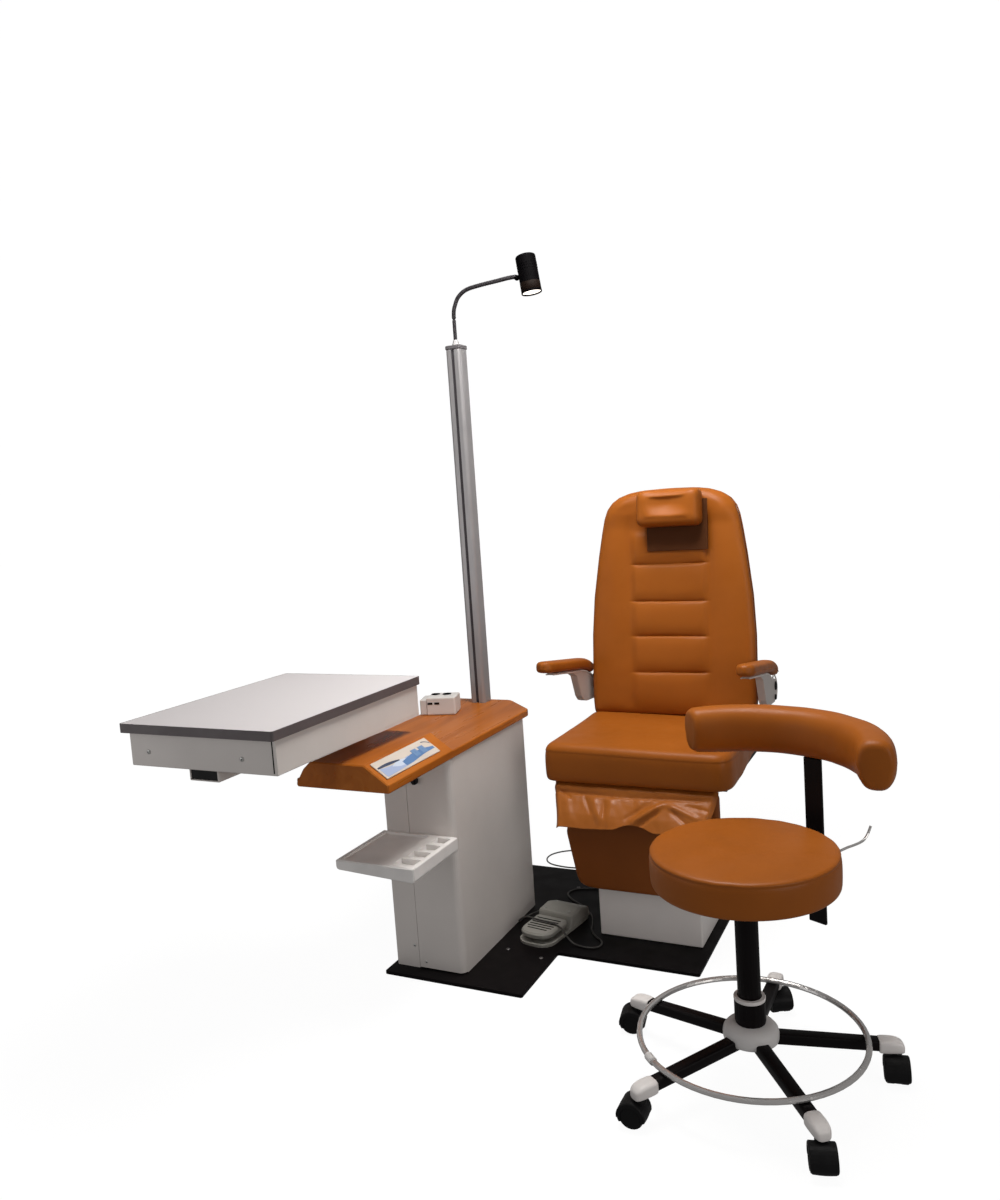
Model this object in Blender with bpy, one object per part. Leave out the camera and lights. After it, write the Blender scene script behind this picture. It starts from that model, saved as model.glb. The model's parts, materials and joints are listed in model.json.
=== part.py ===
"""Ophthalmic refraction unit: instrument stand, patient chair and doctor's stool.

Metres, +Z up. The chair faces -Y, the stand is on its -X side and the stool is in front.
The origin is on the floor, under the front left corner of the stand's cabinet.
"""
import math

import bmesh
import bpy
from mathutils import Matrix, Vector

for old in list(bpy.data.objects):
    bpy.data.objects.remove(old, do_unlink=True)

# ---------------------------------------------------------------- driving dimensions
GAP = 0.0003  # between pieces that touch

PLATE_T = 0.010
PLATE_LEFT, PLATE_STEP, PLATE_RIGHT = -0.012, 0.407, 0.811
PLATE_FRONT, PLATE_INNER, PLATE_REAR = -0.046, 0.2015, 0.780
FLOOR = PLATE_T + GAP  # what stands on the plate starts here

CAB_W, CAB_D, CAB_SIDE = 0.217, 0.590, 0.474  # width, depth, depth where the chamfer starts
SHEET = 0.0025
SEAM_X = 0.075
DESK_Z0, DESK_Z1 = 0.612, 0.634
DESK_L, DESK_R, DESK_F, DESK_B = -0.050, 0.222, -0.305, 0.630
CONSOLE_END, CONSOLE_TOP = 0.020, 0.6785
DESK_WING = -0.100  # the rear of the desk reaches out under the table
FACET_A, FACET_B = (0.152, 0.681), (0.218, 0.636)  # (x, z) of the sloped keypad face

POLE_X, POLE_Y, POLE_W, POLE_TOP = 0.015, 0.594, 0.053, 1.770
NECK_R, NECK_BEND_Z = 0.006, 1.870
LAMP_C, LAMP_R, LAMP_LEN, LAMP_TILT = (0.2805, 1.963), 0.031, 0.115, math.radians(7.5)
BALL_R = 0.008

TABLE_X0, TABLE_X1, TABLE_Y0, TABLE_Y1 = -0.3385, 0.1165, -0.576, 0.050
TABLE_Z0, TABLE_Z1 = 0.805, 0.827
BOX_INSET, BOX_Z0 = 0.015, 0.7235
RAIL_X0, RAIL_X1, RAIL_Z0, RAIL_Z1 = -0.160, -0.072, 0.693, 0.7232
SWING_X, SWING_Y = -0.116, 0.025

CHAIR_X = 0.6345
SEAT_F, SEAT_B, SEAT_Z0, SEAT_Z1, SEAT_HALF = 0.270, 0.715, 0.483, 0.588, 0.2675
BACK_Y, BACK_Z, BACK_TILT = 0.745, 0.500, math.radians(7.0)
ARM_PIVOT_Y, ARM_PIVOT_Z = 0.770, 0.665

STOOL_X, STOOL_Y = 1.0248, -0.181
STOOL_SEAT_R, STOOL_SEAT_Z0, STOOL_SEAT_Z1 = 0.1996, 0.438, 0.5180
LEG_REACH, LEG_FIRST = 0.300, 18.0
RING_R, RING_TUBE = 0.241, 0.0065
BACK_AZ = 64.0  # direction of the stool's back pad
WHEEL_R, WHEEL_TRAIL = 0.0265, 0.016

COLOURS = {  # base colour, roughness, metallic
    "black_steel": ((0.012, 0.012, 0.013), 0.40, 0.0),
    "white_paint": ((0.62, 0.61, 0.60), 0.40, 0.0),
    "wood_orange": ((0.42, 0.15, 0.035), 0.22, 0.0),
    "keypad": ((0.55, 0.62, 0.75), 0.30, 0.0),
    "key_white": ((0.80, 0.80, 0.80), 0.35, 0.0),
    "aluminium": ((0.56, 0.54, 0.52), 0.32, 1.0),
    "dark_grey": ((0.075, 0.068, 0.072), 0.45, 0.0),
    "lamp_black": ((0.015, 0.015, 0.016), 0.35, 0.0),
    "lens": ((1.0, 0.90, 0.72), 0.20, 0.0),
    "laminate": ((0.75, 0.73, 0.73), 0.35, 0.0),
    "white_plastic": ((0.70, 0.69, 0.68), 0.38, 0.0),
    "grey_plastic": ((0.33, 0.34, 0.33), 0.50, 0.0),
    "leather": ((0.40, 0.155, 0.040), 0.42, 0.0),
    "leather_dark": ((0.16, 0.055, 0.018), 0.50, 0.0),
    "zinc": ((0.60, 0.60, 0.60), 0.30, 1.0),
    "arm_grey": ((0.42, 0.37, 0.36), 0.45, 0.0),
    "chrome": ((0.75, 0.75, 0.76), 0.12, 1.0),
    "black_plastic": ((0.018, 0.018, 0.019), 0.45, 0.0),
    "cable": ((0.35, 0.36, 0.36), 0.50, 0.0),
}


def material(name):
    mat = bpy.data.materials.get(name)
    if mat is None:
        colour, rough, metal = COLOURS[name]
        mat = bpy.data.materials.new(name)
        mat.use_nodes = True
        shader = mat.node_tree.nodes["Principled BSDF"]
        shader.inputs["Base Color"].default_value = (*colour, 1.0)
        shader.inputs["Roughness"].default_value = rough
        shader.inputs["Metallic"].default_value = metal
    return mat


# ---------------------------------------------------------------- modelling helpers
def finish_mesh(name, bm, origin=(0, 0, 0), mat="white_paint", smooth=35):
    """Make an object of bm, which is in world space, with its origin at `origin`."""
    bmesh.ops.recalc_face_normals(bm, faces=bm.faces[:])
    bmesh.ops.translate(bm, verts=bm.verts[:], vec=-Vector(origin))
    mesh = bpy.data.meshes.new(name)
    bm.to_mesh(mesh)
    bm.free()
    mesh.shade_smooth()
    mesh.set_sharp_from_angle(angle=math.radians(smooth))
    obj = bpy.data.objects.new(name, mesh)
    obj.location = origin
    obj.data.materials.append(material(mat))
    bpy.context.scene.collection.objects.link(obj)
    return obj


def block(x0, x1, y0, y1, z0, z1, bevel=0.0, steps=2):
    bm = bmesh.new()
    bmesh.ops.create_cube(bm, size=1.0)
    bmesh.ops.scale(bm, vec=(x1 - x0, y1 - y0, z1 - z0), verts=bm.verts[:])
    bmesh.ops.translate(bm, vec=((x0 + x1) / 2, (y0 + y1) / 2, (z0 + z1) / 2), verts=bm.verts[:])
    if bevel:
        bmesh.ops.bevel(bm, geom=bm.edges[:], offset=bevel, segments=steps, profile=0.5, affect="EDGES")
    return bm


def prism(outline, lo, hi, axis="Z", bevel=0.0, steps=1):
    """Extrude an outline along an axis. For Z it is (x, y), for Y (x, z), for X (y, z)."""
    place = {"Z": lambda a, b, c: (a, b, c), "Y": lambda a, b, c: (a, c, b), "X": lambda a, b, c: (c, a, b)}[axis]
    bm = bmesh.new()
    low = [bm.verts.new(place(a, b, lo)) for a, b in outline]
    face = bm.faces.new(low)
    grown = bmesh.ops.extrude_face_region(bm, geom=[face])
    moved = [v for v in grown["geom"] if isinstance(v, bmesh.types.BMVert)]
    bmesh.ops.translate(bm, vec=Vector(place(0, 0, hi - lo)), verts=moved)
    if bevel:
        ends = []
        for edge in bm.edges:
            along = [Vector(v.co)[{"Z": 2, "Y": 1, "X": 0}[axis]] for v in edge.verts]
            if abs(along[0] - along[1]) < 1e-7:
                ends.append(edge)
        bmesh.ops.bevel(bm, geom=ends, offset=bevel, segments=steps, profile=0.5, affect="EDGES")
    return bm


def rounded(points, radius, steps=3):
    """Round the corners of a polygon. `radius` is one value, or one for each corner."""
    count = len(points)
    radii = radius if hasattr(radius, "__len__") else [radius] * count
    out = []
    for i, here in enumerate(points):
        here = Vector(here)
        to_a = (Vector(points[i - 1]) - here).normalized()
        to_b = (Vector(points[(i + 1) % count]) - here).normalized()
        if radii[i] <= 0:
            out.append(tuple(here))
            continue
        half = to_a.angle(to_b) / 2
        centre = here + (to_a + to_b).normalized() * radii[i] / math.sin(half)
        start = here + to_a * radii[i] / math.tan(half) - centre
        end = here + to_b * radii[i] / math.tan(half) - centre
        turn = start.angle_signed(end)
        for k in range(steps + 1):
            arm = Matrix.Rotation(-turn * k / steps, 2) @ start
            out.append(tuple(centre + arm))
    return out


def lathe(profile, sides, centre=(0, 0, 0)):
    """Turn a closed (radius, height) profile about Z. Radius 0 points are on the axis."""
    bm = bmesh.new()
    rings = []
    for radius, height in profile:
        if radius < 1e-9:
            rings.append([bm.verts.new((0, 0, height))])
        else:
            rings.append([bm.verts.new((radius * math.cos(2 * math.pi * k / sides),
                                        radius * math.sin(2 * math.pi * k / sides), height))
                          for k in range(sides)])
    on_axis = len(rings[0]) == 1 and len(rings[-1]) == 1
    pairs = zip(rings, rings[1:] if on_axis else rings[1:] + rings[:1])
    for low, high in pairs:
        for k in range(sides):
            n = (k + 1) % sides
            if len(low) == 1:
                bm.faces.new((low[0], high[n], high[k]))
            elif len(high) == 1:
                bm.faces.new((low[k], low[n], high[0]))
            else:
                bm.faces.new((low[k], low[n], high[n], high[k]))
    bmesh.ops.translate(bm, vec=centre, verts=bm.verts[:])
    return bm


def loft(sections, closed=False):
    """Skin a list of equally long point loops, with the first and last capped."""
    bm = bmesh.new()
    loops = [[bm.verts.new(p) for p in loop] for loop in sections]
    count = len(loops[0])
    pairs = list(zip(loops, loops[1:] + (loops[:1] if closed else [])))
    for low, high in pairs:
        for k in range(count):
            n = (k + 1) % count
            bm.faces.new((low[k], low[n], high[n], high[k]))
    if not closed:
        bm.faces.new(loops[0][::-1])
        bm.faces.new(loops[-1])
    return bm


def swept(path, section, up=(0, 0, 1), scales=None):
    """Sweep a (side, up) section along a path of 3-D points, without twist."""
    path = [Vector(p) for p in path]
    loops = []
    for i, here in enumerate(path):
        ahead = (path[min(i + 1, len(path) - 1)] - path[max(i - 1, 0)]).normalized()
        side = ahead.cross(Vector(up)).normalized()
        over = side.cross(ahead).normalized()
        size = scales[i] if scales else 1.0
        loops.append([here + side * a * size + over * b * size for a, b in section])
    return loft(loops)


def circle(radius, sides, start=0.0):
    return [(radius * math.cos(start + 2 * math.pi * k / sides),
             radius * math.sin(start + 2 * math.pi * k / sides)) for k in range(sides)]


def smooth_path(points, steps):
    """Points of a Catmull-Rom curve through `points`."""
    pts = [Vector(p) for p in points]
    pts = [pts[0] * 2 - pts[1]] + pts + [pts[-1] * 2 - pts[-2]]
    out = []
    for i in range(1, len(pts) - 2):
        a, b, c, d = pts[i - 1:i + 3]
        for k in range(steps):
            t = k / steps
            out.append(0.5 * (2 * b + (c - a) * t + (2 * a - 5 * b + 4 * c - d) * t * t
                              + (3 * b - a - 3 * c + d) * t ** 3))
    out.append(pts[-2])
    return out


def tool(bm, name):
    """A cutter or an addend for a Boolean: kept as a wire guide, outside the model."""
    obj = finish_mesh(name, bm)
    obj.hide_render = True
    obj.display_type = "WIRE"
    return obj


def combine(obj, bm, how="DIFFERENCE"):
    helper = tool(bm, f"tool_{obj.name}_{len(obj.modifiers)}")
    mod = obj.modifiers.new(how.lower(), "BOOLEAN")
    mod.operation = how
    mod.solver = "EXACT"
    mod.object = helper
    return obj


def spun(point, degrees):
    """A point turned about the vertical through the origin."""
    return Matrix.Rotation(math.radians(degrees), 4, "Z") @ Vector(point)


# ---------------------------------------------------------------- stand
def base_plate():
    corners = [(PLATE_LEFT, PLATE_FRONT), (PLATE_STEP, PLATE_FRONT), (PLATE_STEP, PLATE_INNER),
               (PLATE_RIGHT, PLATE_INNER), (PLATE_RIGHT, PLATE_REAR), (PLATE_LEFT, PLATE_REAR)]
    outline = rounded(corners, [0.006, 0.006, 0.004, 0.006, 0.006, 0.006], 3)
    finish_mesh("base_plate", prism(outline, 0.0, PLATE_T, bevel=0.001), mat="black_steel")


def cabinet_shell():
    t, w = SHEET, CAB_W
    chamfer = CAB_D - CAB_SIDE
    outline = [(SEAM_X, 0), (0.005, 0), (0, 0.005), (0, CAB_D), (w - chamfer, CAB_D), (w, CAB_SIDE), (w, 0.0186),
               (w - t, 0.0186), (w - t, CAB_SIDE - t * 0.41), (w - chamfer - t * 0.41, CAB_D - t), (t, CAB_D - t),
               (t, 0.005 + t * 0.41), (0.005 + t * 0.41, t), (SEAM_X, t)]
    finish_mesh("cabinet_shell", prism(outline, FLOOR, DESK_Z0 - GAP))


def cabinet_door():
    """Front panel that turns a round corner; hinged at the rear end of that corner."""
    r, t, x0 = 0.018, SHEET, SEAM_X + 0.0012
    outer = [(x0, 0.0)]
    inner = []
    for k in range(6):
        a = math.radians(-90 + 90 * k / 5)
        outer.append((CAB_W - r + r * math.cos(a), r + r * math.sin(a)))
        inner.append((CAB_W - r + (r - t) * math.cos(a), r + (r - t) * math.sin(a)))
    outline = outer + inner[::-1] + [(x0, t)]
    finish_mesh("cabinet_door", prism(outline, FLOOR + 0.003, DESK_Z0 - 0.003), origin=(CAB_W, 0.0183, 0))


def door_knob():
    x, z = 0.108, 0.550
    body = lathe([(0, 0), (0.0065, 0), (0.0065, 0.003), (0.0115, 0.0045), (0.0115, 0.010), (0.0095, 0.012), (0, 0.012)], 20)
    grip = block(-0.0026, 0.0026, -0.0095, 0.0095, 0.0100, 0.0165, 0.001, 1)
    knob = finish_mesh("door_knob", body, mat="black_plastic")
    helper_place = Matrix.Translation((x, -GAP, z)) @ Matrix.Rotation(math.radians(90), 4, "X")
    combine(knob, grip, "UNION")
    knob.matrix_world = helper_place
    knob.modifiers[0].object.matrix_world = helper_place


def desk_top():
    slab = rounded([(DESK_L, DESK_F), (DESK_R, DESK_F), (DESK_R, 0.512), (DESK_R - 0.116, DESK_B),
                    (DESK_WING, DESK_B), (DESK_WING, 0.100), (DESK_L, 0.045)],
                   [0.006, 0.006, 0.03, 0.03, 0.02, 0.02, 0.02], 3)
    desk = finish_mesh("desk_top", prism(slab, DESK_Z0, DESK_Z1, bevel=0.004, steps=2), mat="wood_orange")
    profile = rounded([(DESK_L, DESK_Z0 + 0.004), (DESK_R, DESK_Z0 + 0.004), (DESK_R, 0.6335), (0.1557, CONSOLE_TOP),
                       (-0.004, CONSOLE_TOP), (-0.027, 0.658), (DESK_L, 0.622)],
                      [0, 0, 0.004, 0.006, 0.012, 0.02, 0.004], 2)
    combine(desk, prism(profile, DESK_F - 0.0004, CONSOLE_END, "Y", bevel=0.003), "UNION")


def facet_matrix():
    """Frame of the keypad's sloped face: x down the slope, z out of it."""
    (xa, za), (xb, zb) = FACET_A, FACET_B
    slope = math.atan2(za - zb, xb - xa)
    lift = 0.0006
    middle = Vector(((xa + xb) / 2 + lift * math.sin(slope), 0, (za + zb) / 2 + lift * math.cos(slope)))
    return Matrix.Translation(middle) @ Matrix.Rotation(slope, 4, "Y")


KEY_Y, KEY_HALF = (-0.115, -0.080), 0.012


def keypad():
    frame = facet_matrix()
    panel = finish_mesh("keypad_panel", block(-0.029, 0.029, -0.288, -0.030, 0.0, 0.0026, 0.0006, 1), mat="keypad")
    for y in KEY_Y:
        k = KEY_HALF + 0.0005
        combine(panel, block(-k, k, y - k, y + k, -0.005, 0.01))
    for mod in panel.modifiers:
        mod.object.matrix_world = frame
    panel.matrix_world = frame
    for name, y in zip(("key_down", "key_up"), KEY_Y):
        key = finish_mesh(name, block(-KEY_HALF, KEY_HALF, -KEY_HALF, KEY_HALF, 0.0012, 0.0034, 0.0006, 1), mat="key_white")
        key.matrix_world = frame @ Matrix.Translation((0, y, 0))


def instrument_holder():
    """A two-well holder, set at a slight angle and reaching past the desk's left edge."""
    z0 = DESK_Z1 + GAP
    place = Matrix.Translation((0.024, 0.399, 0)) @ Matrix.Rotation(math.radians(16), 4, "Z")
    holder = finish_mesh("instrument_holder", block(-0.092, 0, 0, 0.080, z0, 0.690, 0.004, 2), mat="white_plastic")
    combine(holder, block(-0.114, -0.088, 0.004, 0.072, z0 + 0.0001, 0.684, 0.003, 1), "UNION")
    for x in (-0.072, -0.036):
        combine(holder, lathe([(0, 0.650), (0.0125, 0.650), (0.0125, 0.71), (0, 0.71)], 18, (x, 0.052, 0)))
    for mod in holder.modifiers:
        mod.object.matrix_world = place
    holder.matrix_world = place


def pole():
    h, n, deep = POLE_W / 2, 0.005, 0.009
    # front groove, round the left side, rear groove, round the right side
    left = [(-n, -h + deep), (-n, -h), (-h + 0.009, -h), (-h + 0.003, -h + 0.003), (-h, -h + 0.009),
            (-h, h - 0.009), (-h + 0.003, h - 0.003), (-h + 0.009, h), (-n, h), (-n, h - deep)]
    outline = left + [(-x, -y) for x, y in left]
    placed = [(POLE_X + x, POLE_Y + y) for x, y in outline]
    finish_mesh("pole", prism(placed, DESK_Z1 + GAP, POLE_TOP - GAP), mat="aluminium")


def pole_cap():
    h = POLE_W / 2 + 0.0012
    square = rounded([(POLE_X - h, POLE_Y - h), (POLE_X + h, POLE_Y - h), (POLE_X + h, POLE_Y + h),
                      (POLE_X - h, POLE_Y + h)], 0.009, 3)
    finish_mesh("pole_cap", prism(square, POLE_TOP, POLE_TOP + 0.013, bevel=0.002), mat="dark_grey")


def ball_centre():
    reach = LAMP_R + GAP + BALL_R
    return Vector((LAMP_C[0] - reach * math.cos(LAMP_TILT), POLE_Y, LAMP_C[1] - reach * math.sin(LAMP_TILT)))


def gooseneck():
    z0 = POLE_TOP + 0.013 + GAP
    end = NECK_BEND_Z - NECK_R - GAP
    lower = lathe([(0, 0), (0.0105, 0), (0.0105, 0.014), (0.0085, 0.020), (0.0085, 0.024), (NECK_R, 0.027),
                   (NECK_R, end - z0), (0, end - z0)], 16, (POLE_X, POLE_Y, z0))
    finish_mesh("gooseneck_lower", lower, origin=(POLE_X, POLE_Y, z0), mat="lamp_black")
    bend = Vector((POLE_X, POLE_Y, NECK_BEND_Z))
    ball = ball_centre()
    route = smooth_path([bend, (0.0165, POLE_Y, 1.902), (0.031, POLE_Y, 1.934), (0.061, POLE_Y, 1.952),
                         (0.110, POLE_Y, 1.9575), (0.180, POLE_Y, 1.959), ball], 3)
    upper = finish_mesh("gooseneck_upper", swept(route, circle(NECK_R, 12), up=(0, 1, 0)), origin=bend, mat="lamp_black")
    dome = [(NECK_R * math.cos(math.radians(a)), NECK_R * math.sin(math.radians(a))) for a in range(-90, 1, 18)]
    dome[0] = (0, dome[0][1])
    combine(upper, lathe(dome + [(NECK_R, 0.002), (0, 0.002)], 12, bend), "UNION")
    knob = [(BALL_R * math.cos(math.radians(a)), BALL_R * math.sin(math.radians(a))) for a in range(-90, 91, 18)]
    knob[0], knob[-1] = (0, -BALL_R), (0, BALL_R)
    combine(upper, lathe(knob, 14, ball), "UNION")


def lamp():
    r, half, t = LAMP_R, LAMP_LEN / 2, 0.0018
    shell = [(0, half), (r - 0.006, half), (r - 0.002, half - 0.002), (r, half - 0.006), (r, -half), (r - t, -half),
             (r - t, half - 0.009), (0, half - 0.009)]
    place = Matrix.Translation((LAMP_C[0], POLE_Y, LAMP_C[1])) @ Matrix.Rotation(-LAMP_TILT, 4, "Y")
    about = Matrix.Translation(place.inverted() @ ball_centre())
    for name, profile, mat in (("lamp_shade", shell, "lamp_black"),
                               ("lamp_lens", [(0, -half + 0.004), (r - t - GAP, -half + 0.004),
                                              (r - t - GAP, -half + 0.012), (0, -half + 0.012)], "lens")):
        piece = finish_mesh(name, lathe(profile, 28), origin=about.translation, mat=mat)
        piece.matrix_world = place @ about


def table():
    b = 0.002
    rim = rounded([(TABLE_X0, TABLE_Y0), (TABLE_X1, TABLE_Y0), (TABLE_X1, TABLE_Y1), (TABLE_X0, TABLE_Y1)], 0.006, 3)
    mid = [(TABLE_X0 + TABLE_X1) / 2, (TABLE_Y0 + TABLE_Y1) / 2]

    def shrink(loop, d):
        kx = 1 - 2 * d / (TABLE_X1 - TABLE_X0)
        ky = 1 - 2 * d / (TABLE_Y1 - TABLE_Y0)
        return [(mid[0] + (x - mid[0]) * kx, mid[1] + (y - mid[1]) * ky) for x, y in loop]

    band = loft([[(x, y, TABLE_Z0) for x, y in rim], [(x, y, TABLE_Z1) for x, y in rim],
                 [(x, y, TABLE_Z1) for x, y in shrink(rim, b)], [(x, y, TABLE_Z0) for x, y in shrink(rim, b)]], True)
    axis = (SWING_X, SWING_Y, 0)
    finish_mesh("table_edge_band", band, origin=axis, mat="dark_grey")
    finish_mesh("table_top", prism(shrink(rim, b + GAP), TABLE_Z0, TABLE_Z1), origin=axis, mat="laminate")
    x0, x1, y0, y1 = TABLE_X0 + BOX_INSET, TABLE_X1 - BOX_INSET / 2, TABLE_Y0 + BOX_INSET, TABLE_Y1 - BOX_INSET / 3
    pan = finish_mesh("table_box", block(x0, x1, y0, y1, BOX_Z0, TABLE_Z0 - GAP, 0.002, 1), origin=axis)
    combine(pan, block(x0 + 0.004, x1 - 0.004, y0 + 0.004, y1 - 0.004, BOX_Z0 + 0.004, TABLE_Z0 + 0.02))


RAIL_Y0, RAIL_Y1 = -0.548, 0.085


def table_rail():
    axis = (SWING_X, SWING_Y, 0)
    w = 0.0036
    rail = finish_mesh("table_rail", block(RAIL_X0, RAIL_X1, RAIL_Y0, RAIL_Y1, RAIL_Z0, RAIL_Z1, 0.003, 2), origin=axis)
    combine(rail, block(RAIL_X0 + w, RAIL_X1 - w, RAIL_Y0 - 0.01, RAIL_Y1 + 0.01, RAIL_Z0 + w, RAIL_Z1 - w))
    plug = block(RAIL_X0 + w + GAP, RAIL_X1 - w - GAP, RAIL_Y0 + 0.003, RAIL_Y0 + 0.028, RAIL_Z0 + w + GAP,
                 RAIL_Z1 - w - GAP, 0.001, 1)
    finish_mesh("rail_end_cap", plug, origin=axis, mat="black_plastic")


def table_pivot():
    """Bracket on the cabinet's side with the post that the rail turns on."""
    bracket = finish_mesh("table_pivot", block(SWING_X - 0.036, -GAP, SWING_Y - 0.015, SWING_Y + 0.075, 0.545, 0.600, 0.004, 1))
    post = lathe([(0, 0.58), (0.026, 0.58), (0.026, 0.684), (0.034, 0.684), (0.034, RAIL_Z0 - GAP), (0, RAIL_Z0 - GAP)],
                 24, (SWING_X, SWING_Y, 0))
    combine(bracket, post, "UNION")


def instrument_tray():
    """Moulded tray on the door: deeper on the right, with a row of stepped pockets."""
    x0, x1, y0, y1, top = -0.008, 0.226, -0.232, -GAP, 0.400
    profile = rounded([(x0, 0.374), (x1, 0.361), (x1, top), (x0, top)], [0.008, 0.008, 0.003, 0.004], 2)
    tray = finish_mesh("instrument_tray", prism(profile, y0, y1, "Y", bevel=0.003), origin=(CAB_W, 0.0183, 0),
                       mat="white_plastic")
    for k in range(4):  # stepped pockets for small tools
        yk = y0 + 0.018 + 0.052 * k
        combine(tray, block(x1 - 0.070 + 0.006 * k, x1 - 0.012, yk, yk + 0.040, top - 0.014, top + 0.01))
    combine(tray, block(x0 + 0.014, x1 - 0.082, y0 + 0.014, y1 - 0.012, top - 0.006, top + 0.01))


def power_supply():
    finish_mesh("power_supply", block(0.030, 0.185, 0.220, 0.440, FLOOR, 0.190, 0.003, 1), mat="zinc")


PEDAL_AT, PEDAL_TURN = (0.338, 0.335), math.radians(-8)


def footswitch():
    """Sole with a rear housing, and a domed pedal in front that rocks about its rear edge."""
    place = Matrix.Translation((PEDAL_AT[0], PEDAL_AT[1], FLOOR)) @ Matrix.Rotation(PEDAL_TURN, 4, "Z")
    sole = prism(rounded([(-0.056, -0.124), (0.056, -0.124), (0.060, 0.122), (-0.060, 0.122)],
                         [0.04, 0.04, 0.02, 0.02], 4), 0, 0.008)
    base = finish_mesh("footswitch_base", sole, mat="grey_plastic")
    side = rounded([(0.004, 0.004), (0.122, 0.004), (0.116, 0.034), (0.070, 0.050), (0.016, 0.046)],
                   [0, 0, 0.008, 0.012, 0.008], 2)
    combine(base, prism(side, -0.0585, 0.0585, "X", bevel=0.006, steps=2), "UNION")
    combine(base, prism(circle(0.0055, 10), -0.074, -0.05, "X"), "UNION")
    base.modifiers[-1].object.location = (0, 0.055, 0.016)
    for mod in base.modifiers:
        mod.object.matrix_world = place @ Matrix.Translation(mod.object.location)
    base.matrix_world = place
    hinge = Vector((0, -0.003, 0.030))
    top = prism(rounded([(-0.050, -0.1205), (0.050, -0.1205), (0.054, 0.002), (-0.054, 0.002)], [0.038, 0.038, 0.014, 0.014], 3),
                0.0195, 0.038, bevel=0.005, steps=1)
    pedal = finish_mesh("footswitch_pedal", top, origin=hinge, mat="grey_plastic")
    pedal.matrix_world = place @ Matrix.Translation(hinge)


CORD_R = 0.0025
ON_PLATE, ON_FLOOR = PLATE_T + CORD_R + 0.0004, CORD_R + 0.0004
CORD_ROUTE = [
    (0.2719, 0.3999, 0.0263), (0.2580, 0.4022, 0.0235), (0.2420, 0.3990, 0.0170), (0.2300, 0.3870, ON_PLATE),
    (0.2235, 0.3670, ON_PLATE), (0.2240, 0.3430, 0.0160), (0.2320, 0.3230, 0.0270), (0.2480, 0.3110, 0.0420),
    (0.2700, 0.3030, 0.0528), (0.3000, 0.2960, 0.0530), (0.3350, 0.2890, 0.0528), (0.3650, 0.2810, 0.0526),
    (0.3900, 0.2720, 0.0470), (0.4100, 0.2640, 0.0290), (0.4300, 0.2570, 0.0160), (0.4520, 0.2510, ON_PLATE),
    (0.4740, 0.2480, ON_PLATE), (0.4980, 0.2530, ON_PLATE), (0.5100, 0.2720, ON_PLATE), (0.5020, 0.2980, ON_PLATE),
    (0.4760, 0.3220, ON_PLATE), (0.4510, 0.3560, ON_PLATE), (0.4370, 0.4000, ON_PLATE), (0.4150, 0.4500, ON_PLATE),
    (0.3700, 0.5020, ON_PLATE), (0.3180, 0.5400, ON_PLATE), (0.2870, 0.5800, ON_PLATE), (0.3010, 0.6200, ON_PLATE),
    (0.3450, 0.6380, ON_PLATE), (0.3950, 0.6600, ON_PLATE), (0.4150, 0.7100, ON_PLATE), (0.3800, 0.7600, 0.0150),
    (0.3150, 0.7920, 0.0140), (0.2500, 0.8100, 0.0040), (0.1850, 0.8080, ON_FLOOR), (0.1250, 0.8220, ON_FLOOR),
    (0.0930, 0.8620, ON_FLOOR), (0.0980, 0.9150, ON_FLOOR), (0.1480, 0.9600, ON_FLOOR), (0.2350, 0.9760, ON_FLOOR),
    (0.3400, 0.9550, ON_FLOOR), (0.4300, 0.9000, ON_FLOOR), (0.5000, 0.8380, 0.0050), (0.5460, 0.7860, 0.0170),
    (0.5590, 0.7520, 0.0245), (0.5600, 0.7206, 0.0258),
]


def footswitch_cord():
    points = smooth_path(CORD_ROUTE, 2)
    for point in points:  # it lies on the plate, or on the floor behind it
        point.z = max(point.z, ON_PLATE if point.y < PLATE_REAR + 0.005 else ON_FLOOR)
    curve = bpy.data.curves.new("footswitch_cord", "CURVE")
    curve.dimensions = "3D"
    curve.bevel_depth = CORD_R
    curve.bevel_resolution = 2
    curve.use_fill_caps = True
    line = curve.splines.new("POLY")
    line.points.add(len(points) - 1)
    for spot, point in zip(line.points, points):
        spot.co = (*point, 1.0)
    obj = bpy.data.objects.new("footswitch_cord", curve)
    curve.materials.append(material("cable"))
    bpy.context.scene.collection.objects.link(obj)


# ---------------------------------------------------------------- chair
BASE_X0, BASE_X1, BASE_Y0, BASE_Y1, BASE_Z1 = 0.484, 0.785, 0.345, 0.700, 0.205
LIFT_TOP = 0.463 - GAP


def chair_base():
    """Steel cover over the lift's foot: open below, with a square hole above."""
    t = 0.0055
    base = finish_mesh("chair_base", block(BASE_X0, BASE_X1, BASE_Y0, BASE_Y1, FLOOR, BASE_Z1, 0.004, 2))
    combine(base, block(BASE_X0 + t, BASE_X1 - t, BASE_Y0 + t, BASE_Y1 - t, FLOOR - 0.02, BASE_Z1 - 0.003))
    combine(base, block(CHAIR_X - 0.0965, CHAIR_X + 0.0965, LIFT_Y - 0.0965, LIFT_Y + 0.0965, 0.1, BASE_Z1 + 0.02))
    gland = prism(circle(0.007, 12), BASE_Y1 - 0.002, BASE_Y1 + 0.020, "Y")
    bmesh.ops.translate(gland, vec=(0.560, 0, 0.026), verts=gland.verts[:])
    combine(base, gland, "UNION")


LIFT_Y = 0.540


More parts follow.
